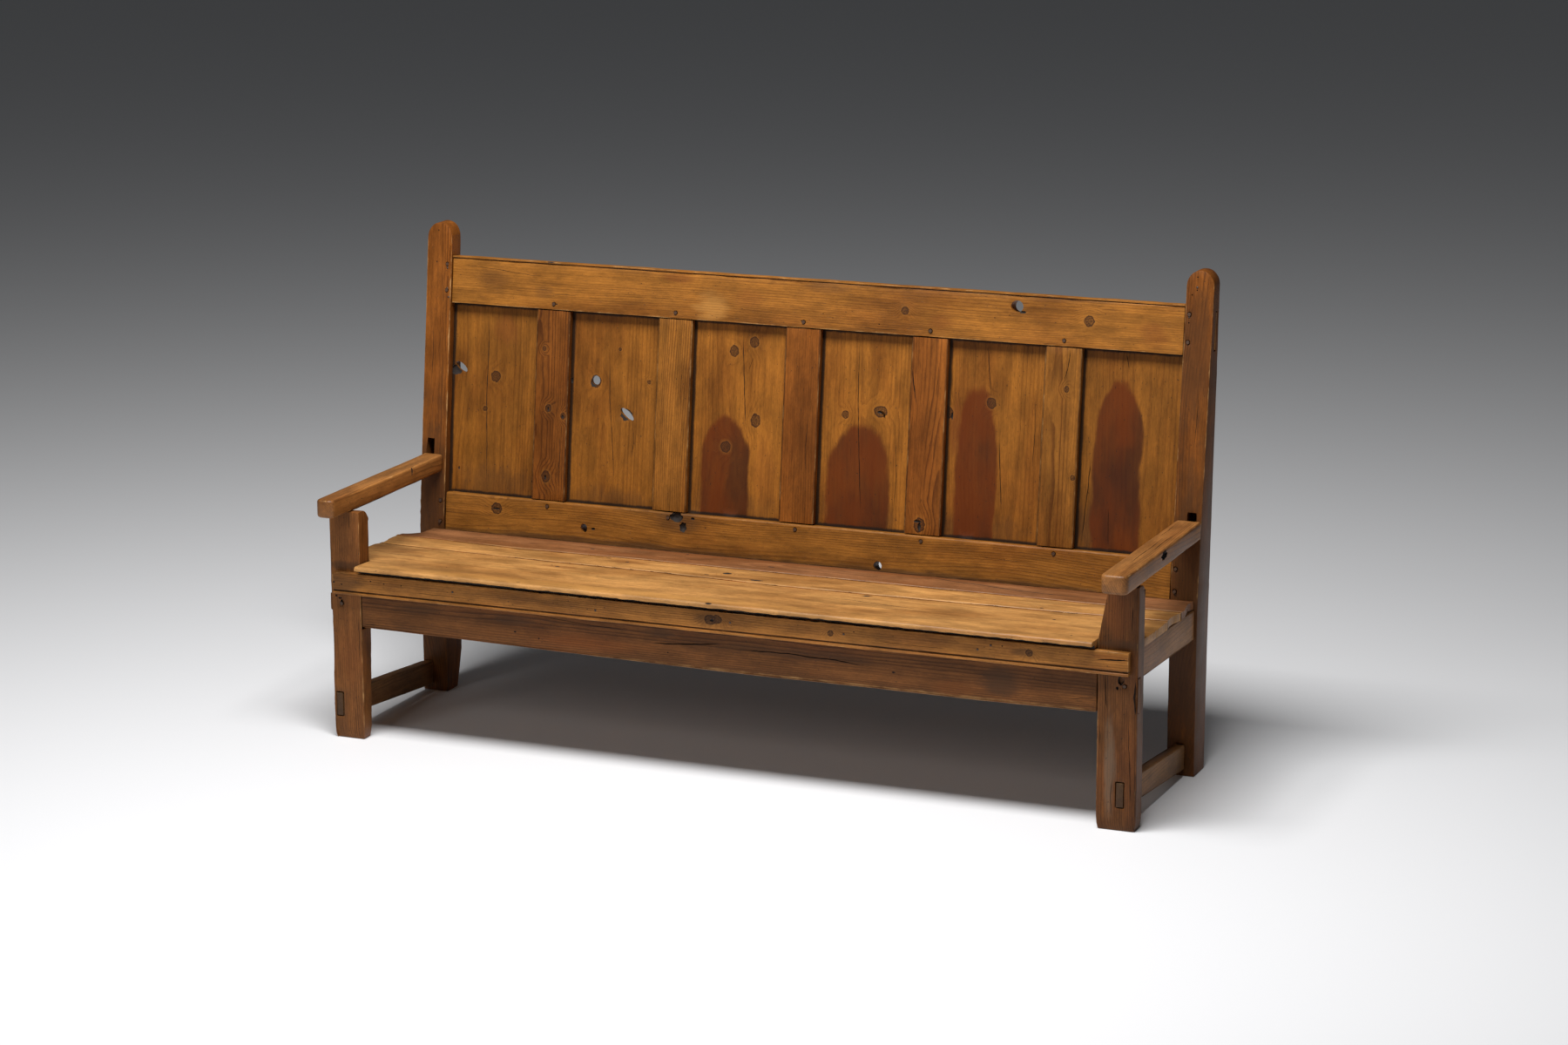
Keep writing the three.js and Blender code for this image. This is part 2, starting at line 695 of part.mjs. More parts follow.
function addRearRail() {
  const near = seatDepth + railSetback;
  const end = postInner - jointGap;
  const section = easedRectangle(near, near + rearRailThickness, rearRailLow, rearRailTop, frameEdge);
  const rail = joinedTo(solidOf(alongX(section, -end, end)), sides.map((side) => rearRailTenon(side, 0)));
  addPiece(bench, 'rear_seat_rail', cutBy(rail, sides.map(bearerHousingAt)), 'brown');
}

function addBearer(side) {
  const bar = solidOf(bearerBar(side, 0));
  const span = solidOf(carried(bearerSpan(0), bench, seatGroup));
  addPiece(seatGroup, `seat_bearer_${sideName(side)}`, bar.intersect(span), 'brown');
}

/** Section of the strip under the nosing: a flat face over a quirk and a bead. */
function mouldingSection() {
  const front = -mouldingDepth;
  const top = seatUndersideAt(0) - jointGap;
  const low = top - mouldingHeight;
  const bead = mouldingBeadRadius;
  const quirkTop = low + 2 * bead + mouldingQuirkWidth;
  const section = new THREE.Shape();
  section.moveTo(-jointGap, low);
  section.lineTo(front + bead, low);
  section.absarc(front + bead, low + bead, bead, -Math.PI / 2, Math.PI / 2, true);
  section.lineTo(front + bead, quirkTop);
  section.lineTo(front, quirkTop);
  section.lineTo(front, top - mouldingEdge);
  section.lineTo(front + mouldingEdge, top);
  section.lineTo(-jointGap, top);
  return section;
}

function addMoulding() {
  const end = halfLength - mouldingEndInset;
  addPiece(bench, 'seat_edge_moulding', solidOf(alongX(mouldingSection(), -end, end)), 'brown');
}

// Seat boards, drawn level in the seat's frame

/** Section of the front board, with its nosing rounded over the top edge. */
function nosingSection(width) {
  const section = new THREE.Shape();
  section.moveTo(boardEdge, -seatBoardThickness);
  section.lineTo(width - boardEdge, -seatBoardThickness);
  section.lineTo(width, -seatBoardThickness + boardEdge);
  section.lineTo(width, -boardEdge);
  section.lineTo(width - boardEdge, 0);
  section.lineTo(nosingRadius, 0);
  section.absarc(nosingRadius, -nosingRadius, nosingRadius, Math.PI / 2, Math.PI);
  section.lineTo(0, -seatBoardThickness + boardEdge);
  return section;
}

/** The space of a front leg that the front board is notched round. */
function legNotch(side) {
  return block(
    [legInnerAt(side) - side * legNotchGap, side * (halfLength + overrun)],
    [-nosingOverhang - overrun, legDepth + legNotchGap],
    [0, seatHeight + overrun]);
}

/** What is worn off the left end of the rear board, beside the post. */
function wornEnd(end, back) {
  const worn = new THREE.Shape();
  worn.moveTo(end - overrun, back + overrun);
  worn.lineTo(end - overrun, back - wornEndLength);
  worn.lineTo(end, back - wornEndLength);
  worn.quadraticCurveTo(end + wornEndWidth, back - wornEndLength + wornEndRun / 2,
    end + wornEndWidth, back - wornEndLength + wornEndRun);
  worn.lineTo(end + wornEndWidth, back + overrun);
  return alongZ(worn, -seatBoardThickness - overrun, overrun);
}

function addSeatBoards() {
  const end = halfLength - seatEndInset;
  const depth = nosingOverhang + seatDepth - jointGap;
  const back = depth / Math.cos(seatTilt) - seatBoardThickness * Math.tan(seatTilt);
  const middleFront = frontBoardWidth + boardGap;
  const rearFront = middleFront + middleBoardWidth + boardGap;
  const notches = sides.map((side) => carried(legNotch(side), bench, seatGroup));
  const front = cutBy(solidOf(alongX(nosingSection(frontBoardWidth), -end, end)), notches);
  const spans = [[middleFront, middleFront + middleBoardWidth], [rearFront, back]];
  const [middle, rear] = spans.map(([near, far]) =>
    solidOf(alongX(easedRectangle(near, far, -seatBoardThickness, 0, boardEdge), -end, end)));
  const boards = [front, middle, cutBy(rear, [wornEnd(-end, back)])];
  for (const [index, board] of boards.entries()) {
    addPiece(seatGroup, `seat_board_${index + 1}`, board, 'seat');
  }
}

// Leaning back, drawn upright in its own frame

/** Section of the top rail: rounded edge and scratched quirk above, panel groove below. */
function topRailSection() {
  const quirkTop = topRailTop - quirkDrop;
  const section = new THREE.Shape();
  section.moveTo(0, topRailLow);
  section.lineTo(grooveSetback - jointGap, topRailLow);
  section.lineTo(grooveSetback - jointGap, topRailLow + grooveDepth);
  section.lineTo(grooveBack + jointGap, topRailLow + grooveDepth);
  section.lineTo(grooveBack + jointGap, topRailLow);
  section.lineTo(railThickness, topRailLow);
  section.lineTo(railThickness, topRailTop - railRounding);
  section.absarc(railThickness - railRounding, topRailTop - railRounding, railRounding, 0, Math.PI / 2);
  section.absarc(railRounding, topRailTop - railRounding, railRounding, Math.PI / 2, Math.PI);
  section.lineTo(0, quirkTop);
  section.lineTo(quirkDepth, quirkTop);
  section.lineTo(quirkDepth, quirkTop - quirkWidth);
  section.lineTo(0, quirkTop - quirkWidth);
  return section;
}

/** Section of the bottom rail: chamfered upper edge with the panel groove in it. */
function bottomRailSection() {
  return outlineOf([
    [0, bottomRailLow],
    [railThickness, bottomRailLow],
    [railThickness, bottomRailTop],
    [grooveBack + jointGap, bottomRailTop],
    [grooveBack + jointGap, bottomRailTop - grooveDepth],
    [grooveSetback - jointGap, bottomRailTop - grooveDepth],
    [grooveSetback - jointGap, bottomRailTop],
    [railRounding, bottomRailTop],
    [0, bottomRailTop - railRounding],
  ]);
}

/** Adds a back rail: end 0 of each muntin enters the bottom rail and end 1 the top one. */
function addBackRail(name, section, tenonOf, end, knotHoles) {
  const length = postInner - jointGap;
  const rail = joinedTo(solidOf(alongX(section, -length, length)), sides.map((side) => tenonOf(side, 0)));
  const tools = [
    ...muntinIndexes.map((index) => muntinTenons(muntinMiddleAt(index), jointGap)[end]),
    ...muntinIndexes.map((index) => pegHole(muntinPegPlaces(index)[end])),
    ...sides.flatMap((side) => postPegPlaces(side).map(pegHole)),
    ...knotHoles,
  ];
  addPiece(backGroup, name, cutBy(rail, tools), 'amber');
}

/** Plan of a muntin: eased front corners, and a panel groove in each side. */
function muntinPlan() {
  const half = muntinWidth / 2;
  const near = muntinSetback;
  const far = muntinSetback + muntinThickness;
  const front = grooveSetback - jointGap;
  const back = grooveBack + jointGap;
  const rightHalf = [
    [half - muntinEdge, near], [half, near + muntinEdge],
    [half, front], [half - grooveDepth, front], [half - grooveDepth, back], [half, back],
    [half, far],
  ];
  const leftHalf = rightHalf.map(([across, along]) => [-across, along]).reverse();
  return outlineOf([...rightHalf, ...leftHalf]);
}

function addMuntins() {
  const shaft = solidOf(alongZ(muntinPlan(), bottomRailTop + jointGap, topRailLow - jointGap));
  for (const index of muntinIndexes) {
    const x = muntinMiddleAt(index);
    const holes = muntinPegPlaces(index).map((place) => pegHole({ ...place, x: 0 }));
    const muntin = cutBy(joinedTo(shaft, muntinTenons(0, 0)), holes);
    addPiece(backGroup, `muntin_${index + 1}`, muntin, 'amber').position.x = x;
  }
}

/** Adds the panels, each with a tongue all round that lies in the grooves. */
function addPanels() {
  const tongue = grooveDepth - panelSlack;
  const [low, high] = [bottomRailTop - tongue, topRailLow + tongue];
  for (let index = 0; index <= muntinCount; index += 1) {
    const name = `back_panel_${index + 1}`;
    const left = index === 0 ? -postInner : muntinMiddleAt(index - 1) + muntinWidth / 2;
    const right = index === muntinCount ? postInner : muntinMiddleAt(index) - muntinWidth / 2;
    const sheet = block([left - tongue, right + tongue], [grooveSetback, grooveBack], [low, high]);
    const holes = (panelKnotShares[name] ?? []).map((share) => knotBar(share, low, high));
    addPiece(backGroup, name, cutBy(solidOf(sheet), holes), 'amber');
  }
}

function addBack() {
  const topKnots = topRailKnotShares.map((share) => knotBar(share, topRailLow, topRailTop));
  const bottomKnots = bottomRailKnotShares.map((share) => knotBar(share, bottomRailLow, bottomRailTop));
  addBackRail('top_rail', topRailSection(), topRailTenon, 1, topKnots);
  addBackRail('bottom_rail', bottomRailSection(), bottomRailTenon, 0, bottomKnots);
  addMuntins();
  addPanels();
  for (const index of muntinIndexes) {
    const [lower, upper] = muntinPegPlaces(index);
    addPeg(backGroup, `muntin_peg_bottom_${index + 1}`, lower);
    addPeg(backGroup, `muntin_peg_top_${index + 1}`, upper);
  }
  for (const side of sides) {
    for (const [index, place] of postPegPlaces(side).entries()) {
      addPeg(backGroup, `post_peg_${sideName(side)}_${index + 1}`, place);
    }
  }
}

// The whole bench
sides.forEach((side, index) => {
  addLeg(side, stretcherFrames[index]);
  addPost(side, stretcherFrames[index]);
  addArm(side);
  addSideRail(side);
  addBearer(side);
  addStretcher(side, stretcherFrames[index]);
  addPeg(bench, `apron_peg_${sideName(side)}`, apronPegPlace(side));
});
addApron();
addRearRail();
addMoulding();
addSeatBoards();
addBack();

// The origin lies on the floor, under the middle of the bench
bench.updateMatrixWorld(true);
const reach = new THREE.Box3().setFromObject(bench, true);
bench.position.set(-(reach.min.x + reach.max.x) / 2, -(reach.min.y + reach.max.y) / 2, -reach.min.z);

export default bench;
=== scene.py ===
# %% [markdown]
# # An old pine settle
# The imported model brings every timber of the bench at its real size and place. This lesson gives
# each timber the worn edges, the grain, the knots and the old wax of the real one. The frame is
# loaded first, because all that follows is placed by it.

# %% Load the imported timbers
import math
from functools import partial

import bpy
from mathutils import Matrix, Vector
from mathutils import noise as ragged_noise


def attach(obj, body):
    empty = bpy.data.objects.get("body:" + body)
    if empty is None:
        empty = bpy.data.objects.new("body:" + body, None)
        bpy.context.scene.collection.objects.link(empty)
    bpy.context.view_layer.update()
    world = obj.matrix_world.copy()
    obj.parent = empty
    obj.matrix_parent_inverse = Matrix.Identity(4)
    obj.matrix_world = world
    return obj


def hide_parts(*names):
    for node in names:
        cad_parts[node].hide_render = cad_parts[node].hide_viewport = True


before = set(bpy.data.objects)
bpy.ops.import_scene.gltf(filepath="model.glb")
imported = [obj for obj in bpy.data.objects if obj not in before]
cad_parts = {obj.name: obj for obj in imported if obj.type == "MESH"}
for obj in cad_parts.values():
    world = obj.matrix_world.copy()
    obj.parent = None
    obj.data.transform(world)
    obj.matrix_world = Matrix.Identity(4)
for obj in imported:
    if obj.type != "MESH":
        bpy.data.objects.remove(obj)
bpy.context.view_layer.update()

MM = 0.001


# %% [markdown]
# ## Camera
# The camera stands to the right of the bench and a little above it, far away with a long lens, so
# the lines of the bench hardly converge. It could be aimed by a Track To constraint, but that holds
# it level. Its turn is built from three axes instead, which lets it roll by a fifth of a degree.

# %% Place the camera
CAMERA_AT = Vector((3.3306, -7.7983, 2.5526))
CAMERA_AIM = Vector((0.0446, 0.0422, 0.5410))
CAMERA_ROLL = math.radians(-0.2)
CAMERA_LENS = 88.5
SENSOR_WIDTH = 36.0

backward = (CAMERA_AT - CAMERA_AIM).normalized()
level_right = (-backward).cross(Vector((0, 0, 1))).normalized()
level_up = level_right.cross(-backward)
camera_right = level_right * math.cos(CAMERA_ROLL) + level_up * math.sin(CAMERA_ROLL)
camera_up = level_up * math.cos(CAMERA_ROLL) - level_right * math.sin(CAMERA_ROLL)
bpy.ops.object.camera_add(location=CAMERA_AT)
camera = bpy.context.object
camera.name = "camera"
camera.matrix_world = Matrix.Translation(CAMERA_AT) @ Matrix(
    (camera_right, camera_up, backward)).transposed().to_4x4()
camera.data.sensor_width = SENSOR_WIDTH
camera.data.lens = CAMERA_LENS
bpy.context.scene.camera = camera
print("camera distance:", round((CAMERA_AT - CAMERA_AIM).length, 2))


# %% [markdown]
# ## Floor and light
# One wide soft lamp hangs over the front of the bench and a weaker one stands before it, to the
# left. A sun or small lamps would give hard shadows, and wide lamps give soft ones. The world fills
# them a little. The floor is pale and plain and reaches far past the view.

# %% Lay the floor
def shader_of(material):
    return next(n for n in material.node_tree.nodes if n.type == "BSDF_PRINCIPLED")


def new_material(name):
    material = bpy.data.materials.new(name)
    material.use_nodes = True
    return material


FLOOR_SIZE = 80.0
FLOOR_COLOUR = (0.80, 0.80, 0.81, 1)
FLOOR_ROUGHNESS = 0.5
bpy.ops.mesh.primitive_plane_add(size=FLOOR_SIZE)
floor = bpy.context.object
floor.name = "floor"
floor_paint = new_material("floor_paint")
shader_of(floor_paint).inputs["Base Color"].default_value = FLOOR_COLOUR
shader_of(floor_paint).inputs["Roughness"].default_value = FLOOR_ROUGHNESS
floor.data.materials.append(floor_paint)
print("floor:", FLOOR_SIZE, "m wide")


# %% Hang the lamps
def soft_lamp(name, at, aim, size, watts):
    """A rectangular lamp that looks from one point at another."""
    bpy.ops.object.light_add(type="AREA", location=at)
    lamp = bpy.context.object
    lamp.name = name
    lamp.data.shape = "RECTANGLE"
    lamp.data.size, lamp.data.size_y = size
    lamp.data.energy = watts
    lamp.rotation_euler = (Vector(aim) - Vector(at)).to_track_quat("-Z", "Y").to_euler()


WORLD_COLOUR = (0.93, 0.96, 1.0, 1)
WORLD_STRENGTH = 0.05
soft_lamp("lamp_over", (0.1, -1.5, 4.3), (0.1, 0.0, 0.4), (3.0, 1.3), 290)
soft_lamp("lamp_front", (-1.6, -4.8, 3.0), (0.0, 0.1, 0.6), (2.4, 1.8), 42)
world = bpy.data.worlds.new("studio")
bpy.context.scene.world = world
world.use_nodes = True
world.node_tree.nodes["Background"].inputs["Color"].default_value = WORLD_COLOUR
world.node_tree.nodes["Background"].inputs["Strength"].default_value = WORLD_STRENGTH
bpy.context.scene.view_settings.view_transform = "Standard"


# %% [markdown]
# ## Small helpers for wood nodes
# Wood is drawn by numbers that run through nodes: distances, noises and masks. It could be built by
# hand in the shader editor, node by node. Here each helper adds one node to the tree that its sockets
# belong to, so a step of the drawing is one short line. A plain number goes into a socket as it is,
# and a socket is linked.

# %% Add and link nodes
def plug(value, socket):
    if isinstance(value, bpy.types.NodeSocket):
        socket.id_data.links.new(value, socket)
    else:
        socket.default_value = value


def add_node(kind, *values):
    """A new node in the tree of the first socket among some values."""
    tree = next(v for v in values if isinstance(v, bpy.types.NodeSocket)).id_data
    return tree.nodes.new("ShaderNode" + kind)


def fill_pair(node, operation, first, second):
    node.operation = operation
    plug(first, node.inputs[0])
    plug(second, node.inputs[1])
    return node


def maths(operation, first, second=0.0):
    return fill_pair(add_node("Math", first, second), operation, first, second).outputs[0]


plus, minus, times, larger, smaller = [
    partial(maths, operation) for operation in ("ADD", "SUBTRACT", "MULTIPLY", "MAXIMUM", "MINIMUM")]


def vector_maths(operation, first, second=(0.0, 0.0, 0.0)):
    node = fill_pair(add_node("VectorMath", first, second), operation, first, second)
    return node.outputs["Value" if operation in ("LENGTH", "DOT_PRODUCT") else "Vector"]


# %% Steps, noise and blends
def rise(value, low, high, start=0.0, end=1.0):
    """A soft step: start below low, end above high. low may lie above high, for a step down."""
    node = add_node("MapRange", value)
    node.interpolation_type = "SMOOTHSTEP"
    if low > high:
        low, high, start, end = high, low, end, start
    for item, socket in zip((value, low, high, start, end), node.inputs):
        plug(item, socket)
    return node.outputs["Result"]


def noise(place, waves, detail=2.0, rough=0.5):
    """Noise with its own number of waves per metre along each axis."""
    node = add_node("TexNoise", place)
    plug(vector_maths("MULTIPLY", place, waves), node.inputs["Vector"])
    node.inputs["Scale"].default_value = 1.0
    node.inputs["Detail"].default_value = detail
    node.inputs["Roughness"].default_value = rough
    return node.outputs["Fac"]


def blend(share, first, second, how="MIX"):
    node = add_node("Mix", share, first, second)
    node.data_type = "RGBA"
    node.blend_type = how
    for value, socket in ((share, "Factor"), (first, 6), (second, 7)):
        plug(value, node.inputs[socket])
    return node.outputs[2]


# %% Make and use groups
def new_group(name, results, result_kind="Float", **inputs):
    """An empty node group with its inputs by name and kind and its results, and its two end nodes."""
    group = bpy.data.node_groups.new(name, "ShaderNodeTree")
    for label, kind in inputs.items():
        group.interface.new_socket(name=label, in_out="INPUT", socket_type="NodeSocket" + kind)
    for label in results:
        group.interface.new_socket(name=label, in_out="OUTPUT", socket_type="NodeSocket" + result_kind)
    print("node group", name, "makes", ", ".join(results))
    return group, group.nodes.new("NodeGroupInput").outputs, group.nodes.new("NodeGroupOutput").inputs


def use_group(group, **values):
    node = add_node("Group", *values.values())
    node.node_tree = group
    for label, value in values.items():
        plug(value, node.inputs[label])
    return node.outputs


# %% [markdown]
# ## The figure of pine
# A board is a slice of a log, and its figure could be painted on each face. It is drawn here as the
# log grew instead, by rings about a pith that lies outside the board, so that long lines and arches
# on the wide faces meet the arcs on the ends. Each ring is pale and ends in a dark line. The pith
# wanders along the board, and a knot pushes the rings aside. Fibres, streaks and patches lie over
# them, each a noise that is drawn out along the grain.

# %% Draw the figure
PITH_WANDER = (0.0, 0.07, 0.05)
RING_WOBBLE = 0.004
RING_BUNCHING = 2.5
# For each layer: waves per metre along and across the grain, detail and roughness.
GRAIN_LAYERS = {
    "Fibre": (16.0, 640.0, 3.0, 0.65),
    "Streak": (1.8, 130.0, 4.0, 0.6),
    "Band": (0.8, 22.0, 2.0, 0.5),
    "Patch": (3.0, 8.0, 4.0, 0.6),
    "Mottle": (9.0, 26.0, 6.0, 0.65),
    "Grit": (90.0, 420.0, 3.0, 0.7),
}
figure, given, made = new_group("pine_figure", ["Late", *GRAIN_LAYERS, "Tick", "Speck"],
                                Place="Vector", Pith="Vector", Rings="Float", Swirl="Float")
grain_place = given["Place"]
wander = minus(noise(grain_place, (1.1, 1.5, 1.5), 1.0), 0.5)
from_pith = vector_maths("SUBTRACT", grain_place, given["Pith"])
from_pith = vector_maths("ADD", from_pith, vector_maths("MULTIPLY", PITH_WANDER, wander))
from_pith = vector_maths("MULTIPLY", from_pith, (0.0, 1.0, 1.0))
wobble = times(noise(grain_place, (6.0, 50.0, 50.0), 2.0), RING_WOBBLE)
ring_radius = plus(plus(vector_maths("LENGTH", from_pith), wobble), given["Swirl"])
good_years = times(noise(grain_place, (0.5, 24.0, 24.0), 1.0), RING_BUNCHING)
year = maths("FRACT", plus(times(ring_radius, given["Rings"]), good_years))
late_wood = times(rise(year, 0.45, 0.93), rise(year, 1.0, 0.95))
clear = rise(noise(grain_place, (1.2, 30.0, 30.0), 2.0), 0.34, 0.62, 0.25, 1.0)
plug(times(late_wood, clear), made["Late"])
for layer, (along, across, detail, rough) in GRAIN_LAYERS.items():
    plug(noise(grain_place, (along, across, across), detail, rough), made[layer])
plug(rise(noise(grain_place, (46.0, 520.0, 520.0), 1.0), 0.73, 0.78), made["Tick"])
plug(rise(noise(grain_place, (190.0, 330.0, 330.0), 0.0), 0.825, 0.85), made["Speck"])


# %% [markdown]
# ## Knots, stains and edges
# Where a branch grew, the board shows a dark oval with its own rings in a pale halo, and the grain
# bends round it. A stain is a flame with a round top that rises from the foot of a panel, and a blotch
# is a soft darker or paler place. All three are a distance from a centre, counted in radii, with an
# outline that noise makes ragged, so each is one group that is used again for every mark. A last group
# tells how far a point is from the nearest edge of its timber, for pale wear with a painted highlight
# and for grime with painted shade.

# %% Draw a knot
KNOT_PUSH = 0.011


def in_radii(given):
    """Where a point lies from a centre, in radii along each axis."""
    return vector_maths("DIVIDE", vector_maths("SUBTRACT", given["Place"], given["Centre"]), given["Radii"])


def ragged_reach(off_centre, given, swing, waves, detail, rough=0.5):
    """How many radii a point lies from a centre. Noise makes it swing."""
    stray = minus(noise(given["Place"], waves, detail, rough), 0.5)
    return plus(vector_maths("LENGTH", off_centre), times(stray, swing))


knot_group, given, made = new_group("pine_knot", ["Knot", "Halo", "Swirl"], Place="Vector", Centre="Vector",
                                    Radii="Vector", Knot="Float", Halo="Float", Swirl="Float")
reach = ragged_reach(in_radii(given), given, 0.6, (130.0, 130.0, 130.0), 3.0)
bark = times(rise(reach, 1.10, 0.98), rise(reach, 0.55, 0.95))
heart = noise(given["Place"], (420.0, 420.0, 420.0), 3.0)
core = times(rise(reach, 1.08, 0.92), rise(heart, 0.35, 0.65, 0.50, 0.95))
plug(larger(given["Knot"], larger(bark, core)), made["Knot"])
plug(larger(given["Halo"], rise(reach, 1.7, 1.0)), made["Halo"])
plug(plus(given["Swirl"], times(rise(reach, 3.6, 0.6), KNOT_PUSH)), made["Swirl"])


# %% Draw a stain
stain_group, given, made = new_group("wax_stain", ["Stain"], Place="Vector", Centre="Vector",
                                     Radii="Vector", Stain="Float")
parts = add_node("SeparateXYZ", given["Place"])
plug(in_radii(given), parts.inputs[0])
above = add_node("CombineXYZ", given["Place"])
plug(larger(parts.outputs[0], 0.0), above.inputs[0])
plug(parts.outputs[1], above.inputs[1])
spread = ragged_reach(above.outputs[0], given, 0.42, (12.0, 30.0, 30.0), 4.0)
plug(larger(given["Stain"], rise(spread, 1.12, 0.84)), made["Stain"])


# %% Draw a blotch
blotch_group, given, made = new_group("soft_blotch", ["Color"], "Color", Place="Vector", Centre="Vector",
                                      Radii="Vector", Under="Color", Over="Color", Strength="Float")
reach = ragged_reach(in_radii(given), given, 1.5, (14.0, 60.0, 60.0), 4.0, 0.6)
cover = times(rise(reach, 1.25, 0.45), given["Strength"])
plug(blend(cover, given["Under"], given["Over"]), made["Color"])


# %% Measure from the edges
edge_group, given, made = new_group("edge_distance", ["Distance"], Place="Vector", Low="Vector",
                                    High="Vector")
to_low = vector_maths("SUBTRACT", given["Place"], given["Low"])
to_high = vector_maths("SUBTRACT", given["High"], given["Place"])
nearest = add_node("SeparateXYZ", to_low)
plug(vector_maths("MINIMUM", to_low, to_high), nearest.inputs[0])
gap_x, gap_y, gap_z = nearest.outputs
# On a face the smallest gap is nothing, so the middle one of the three is the way to the edge.
total = plus(plus(gap_x, gap_y), gap_z)
largest = larger(larger(gap_x, gap_y), gap_z)
smallest = smaller(smaller(gap_x, gap_y), gap_z)
plug(minus(minus(total, largest), smallest), made["Distance"])


# %% [markdown]
# ## The frames that the timbers lie in
# Grain runs along a timber, so each family of timbers gets a frame of its own: x along the grain,
# y across the face and z out of it. The back leans, so its frame leans with it. A Mapping node of
# the Texture kind brings a point of the bench into that frame.

# %% Set up the frames
LEAN = math.radians(6.56)
SEAT_FALL = math.atan2(16, 440)
BACK_FOOT = Vector((0.0, 0.206, 0.424))
SEAT_FRONT = Vector((0.0, -0.274, 0.424))
FLOOR_MIDDLE = Vector((0.0, 0.0, 0.0))

up_back = Vector((0.0, math.sin(LEAN), math.cos(LEAN)))
out_of_back = Vector((0.0, -math.cos(LEAN), math.sin(LEAN)))
out_of_seat = Vector((0.0, math.sin(SEAT_FALL), math.cos(SEAT_FALL)))
LENGTHWISE = Vector((1.0, 0.0, 0.0))
UPWARD = Vector((0.0, 0.0, 1.0))
FRONTWARD = Vector((0.0, -1.0, 0.0))
REARWARD = Vector((0.0, 1.0, 0.0))


def frame_of(origin, grain, outward):
    """The 4 by 4 matrix of a frame with x along the grain and z out of the face."""
    across = outward.cross(grain)
    return Matrix.Translation(origin) @ Matrix((grain, across, outward)).transposed().to_4x4()


BACK_RAILS = frame_of(BACK_FOOT, LENGTHWISE, out_of_back)
BACK_UPRIGHTS = frame_of(BACK_FOOT, up_back, out_of_back)
SEAT = frame_of(SEAT_FRONT, LENGTHWISE, out_of_seat)
LEGS = frame_of(FLOOR_MIDDLE, UPWARD, FRONTWARD)
FRONT_RAILS = frame_of(FLOOR_MIDDLE, LENGTHWISE, FRONTWARD)
SIDE_RAILS = frame_of(FLOOR_MIDDLE, REARWARD, UPWARD)


def upright(x, height):
    """A point x mm along the bench and height mm up a face, in a frame whose grain runs up."""
    return height * MM, -x * MM


def level(x, height):
    """The same point in a frame whose grain runs along the bench."""
    return x * MM, height * MM


print("the back leans by", round(math.degrees(LEAN), 2), "degrees")


# %% [markdown]
# ## One recipe for every timber
# A material could be drawn for each timber. All of them are the same old pine, so one function makes
# their finish, and each gets its own piece of log, its tone, its knots and stains. Edges are rubbed
# pale, with a painted highlight in the pale, joints hold dark grime with painted shade, and the wax is
# duller where hands and backs haven't polished it. Each tone has a pale and a dark colour, both linear.

# %% Colours of old pine
TONES = {
    "honey": ((0.325, 0.124, 0.018, 1), (0.120, 0.034, 0.005, 1)),
    "panel": ((0.270, 0.098, 0.012, 1), (0.100, 0.029, 0.004, 1)),
    "amber": ((0.220, 0.068, 0.009, 1), (0.065, 0.017, 0.003, 1)),
    "seat": ((0.460, 0.225, 0.066, 1), (0.260, 0.098, 0.022, 1)),
    "rear": ((0.225, 0.092, 0.034, 1), (0.095, 0.034, 0.012, 1)),
    "strip": ((0.270, 0.108, 0.022, 1), (0.090, 0.030, 0.006, 1)),
    "brown": ((0.145, 0.053, 0.013, 1), (0.045, 0.015, 0.004, 1)),
    # The side tone is paler than brown: painted light for side faces the lamps hardly reach.
    "side": ((0.290, 0.140, 0.052, 1), (0.100, 0.042, 0.016, 1)),
    "arm": ((0.270, 0.112, 0.028, 1), (0.085, 0.028, 0.007, 1)),
}
DEEP_COLOUR = (0.120, 0.034, 0.006, 1)
KNOT_COLOUR = (0.030, 0.011, 0.005, 1)
HALO_COLOUR = (0.380, 0.160, 0.028, 1)
STAIN_COLOURS = ((0.098, 0.019, 0.003, 1), (0.040, 0.009, 0.003, 1))
# Dark dirt, which is also painted shade along edges that meet other parts and in grooves.
DIRT_AND_SHADE_COLOUR = (0.016, 0.010, 0.007, 1)
# Pale wear on the edges, with a painted highlight in it.
RUBBED_AND_HIGHLIGHT_COLOUR = (0.560, 0.315, 0.120, 1)
BLOTCHES = {
    "dark": (0.060, 0.026, 0.010, 1),
    "red": (0.150, 0.042, 0.008, 1),
    "pale": (0.480, 0.235, 0.060, 1),
    "grey": (0.170, 0.130, 0.090, 1),
}


# %% Find a timber in its frame
def local_box(node, local):
    """The corners of a node's box in a frame of its own."""
    inverse = local.inverted()
    points = [inverse @ v.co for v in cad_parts[node].data.vertices]
    low = [min(p[i] for p in points) for i in range(3)]
    high = [max(p[i] for p in points) for i in range(3)]
    return Vector(low), Vector(high)


def timber_place(tree, local):
    """A point of the bench, brought into the frame of a timber."""
    mapping = tree.nodes.new("ShaderNodeMapping")
    mapping.vector_type = "TEXTURE"
    mapping.inputs["Location"].default_value = local.to_translation()
    mapping.inputs["Rotation"].default_value = local.to_euler()
    plug(tree.nodes.new("ShaderNodeTexCoord").outputs["Object"], mapping.inputs["Vector"])
    return mapping.outputs[0]


# %% Colour the clean wood
PATCH_STRENGTH = 0.5


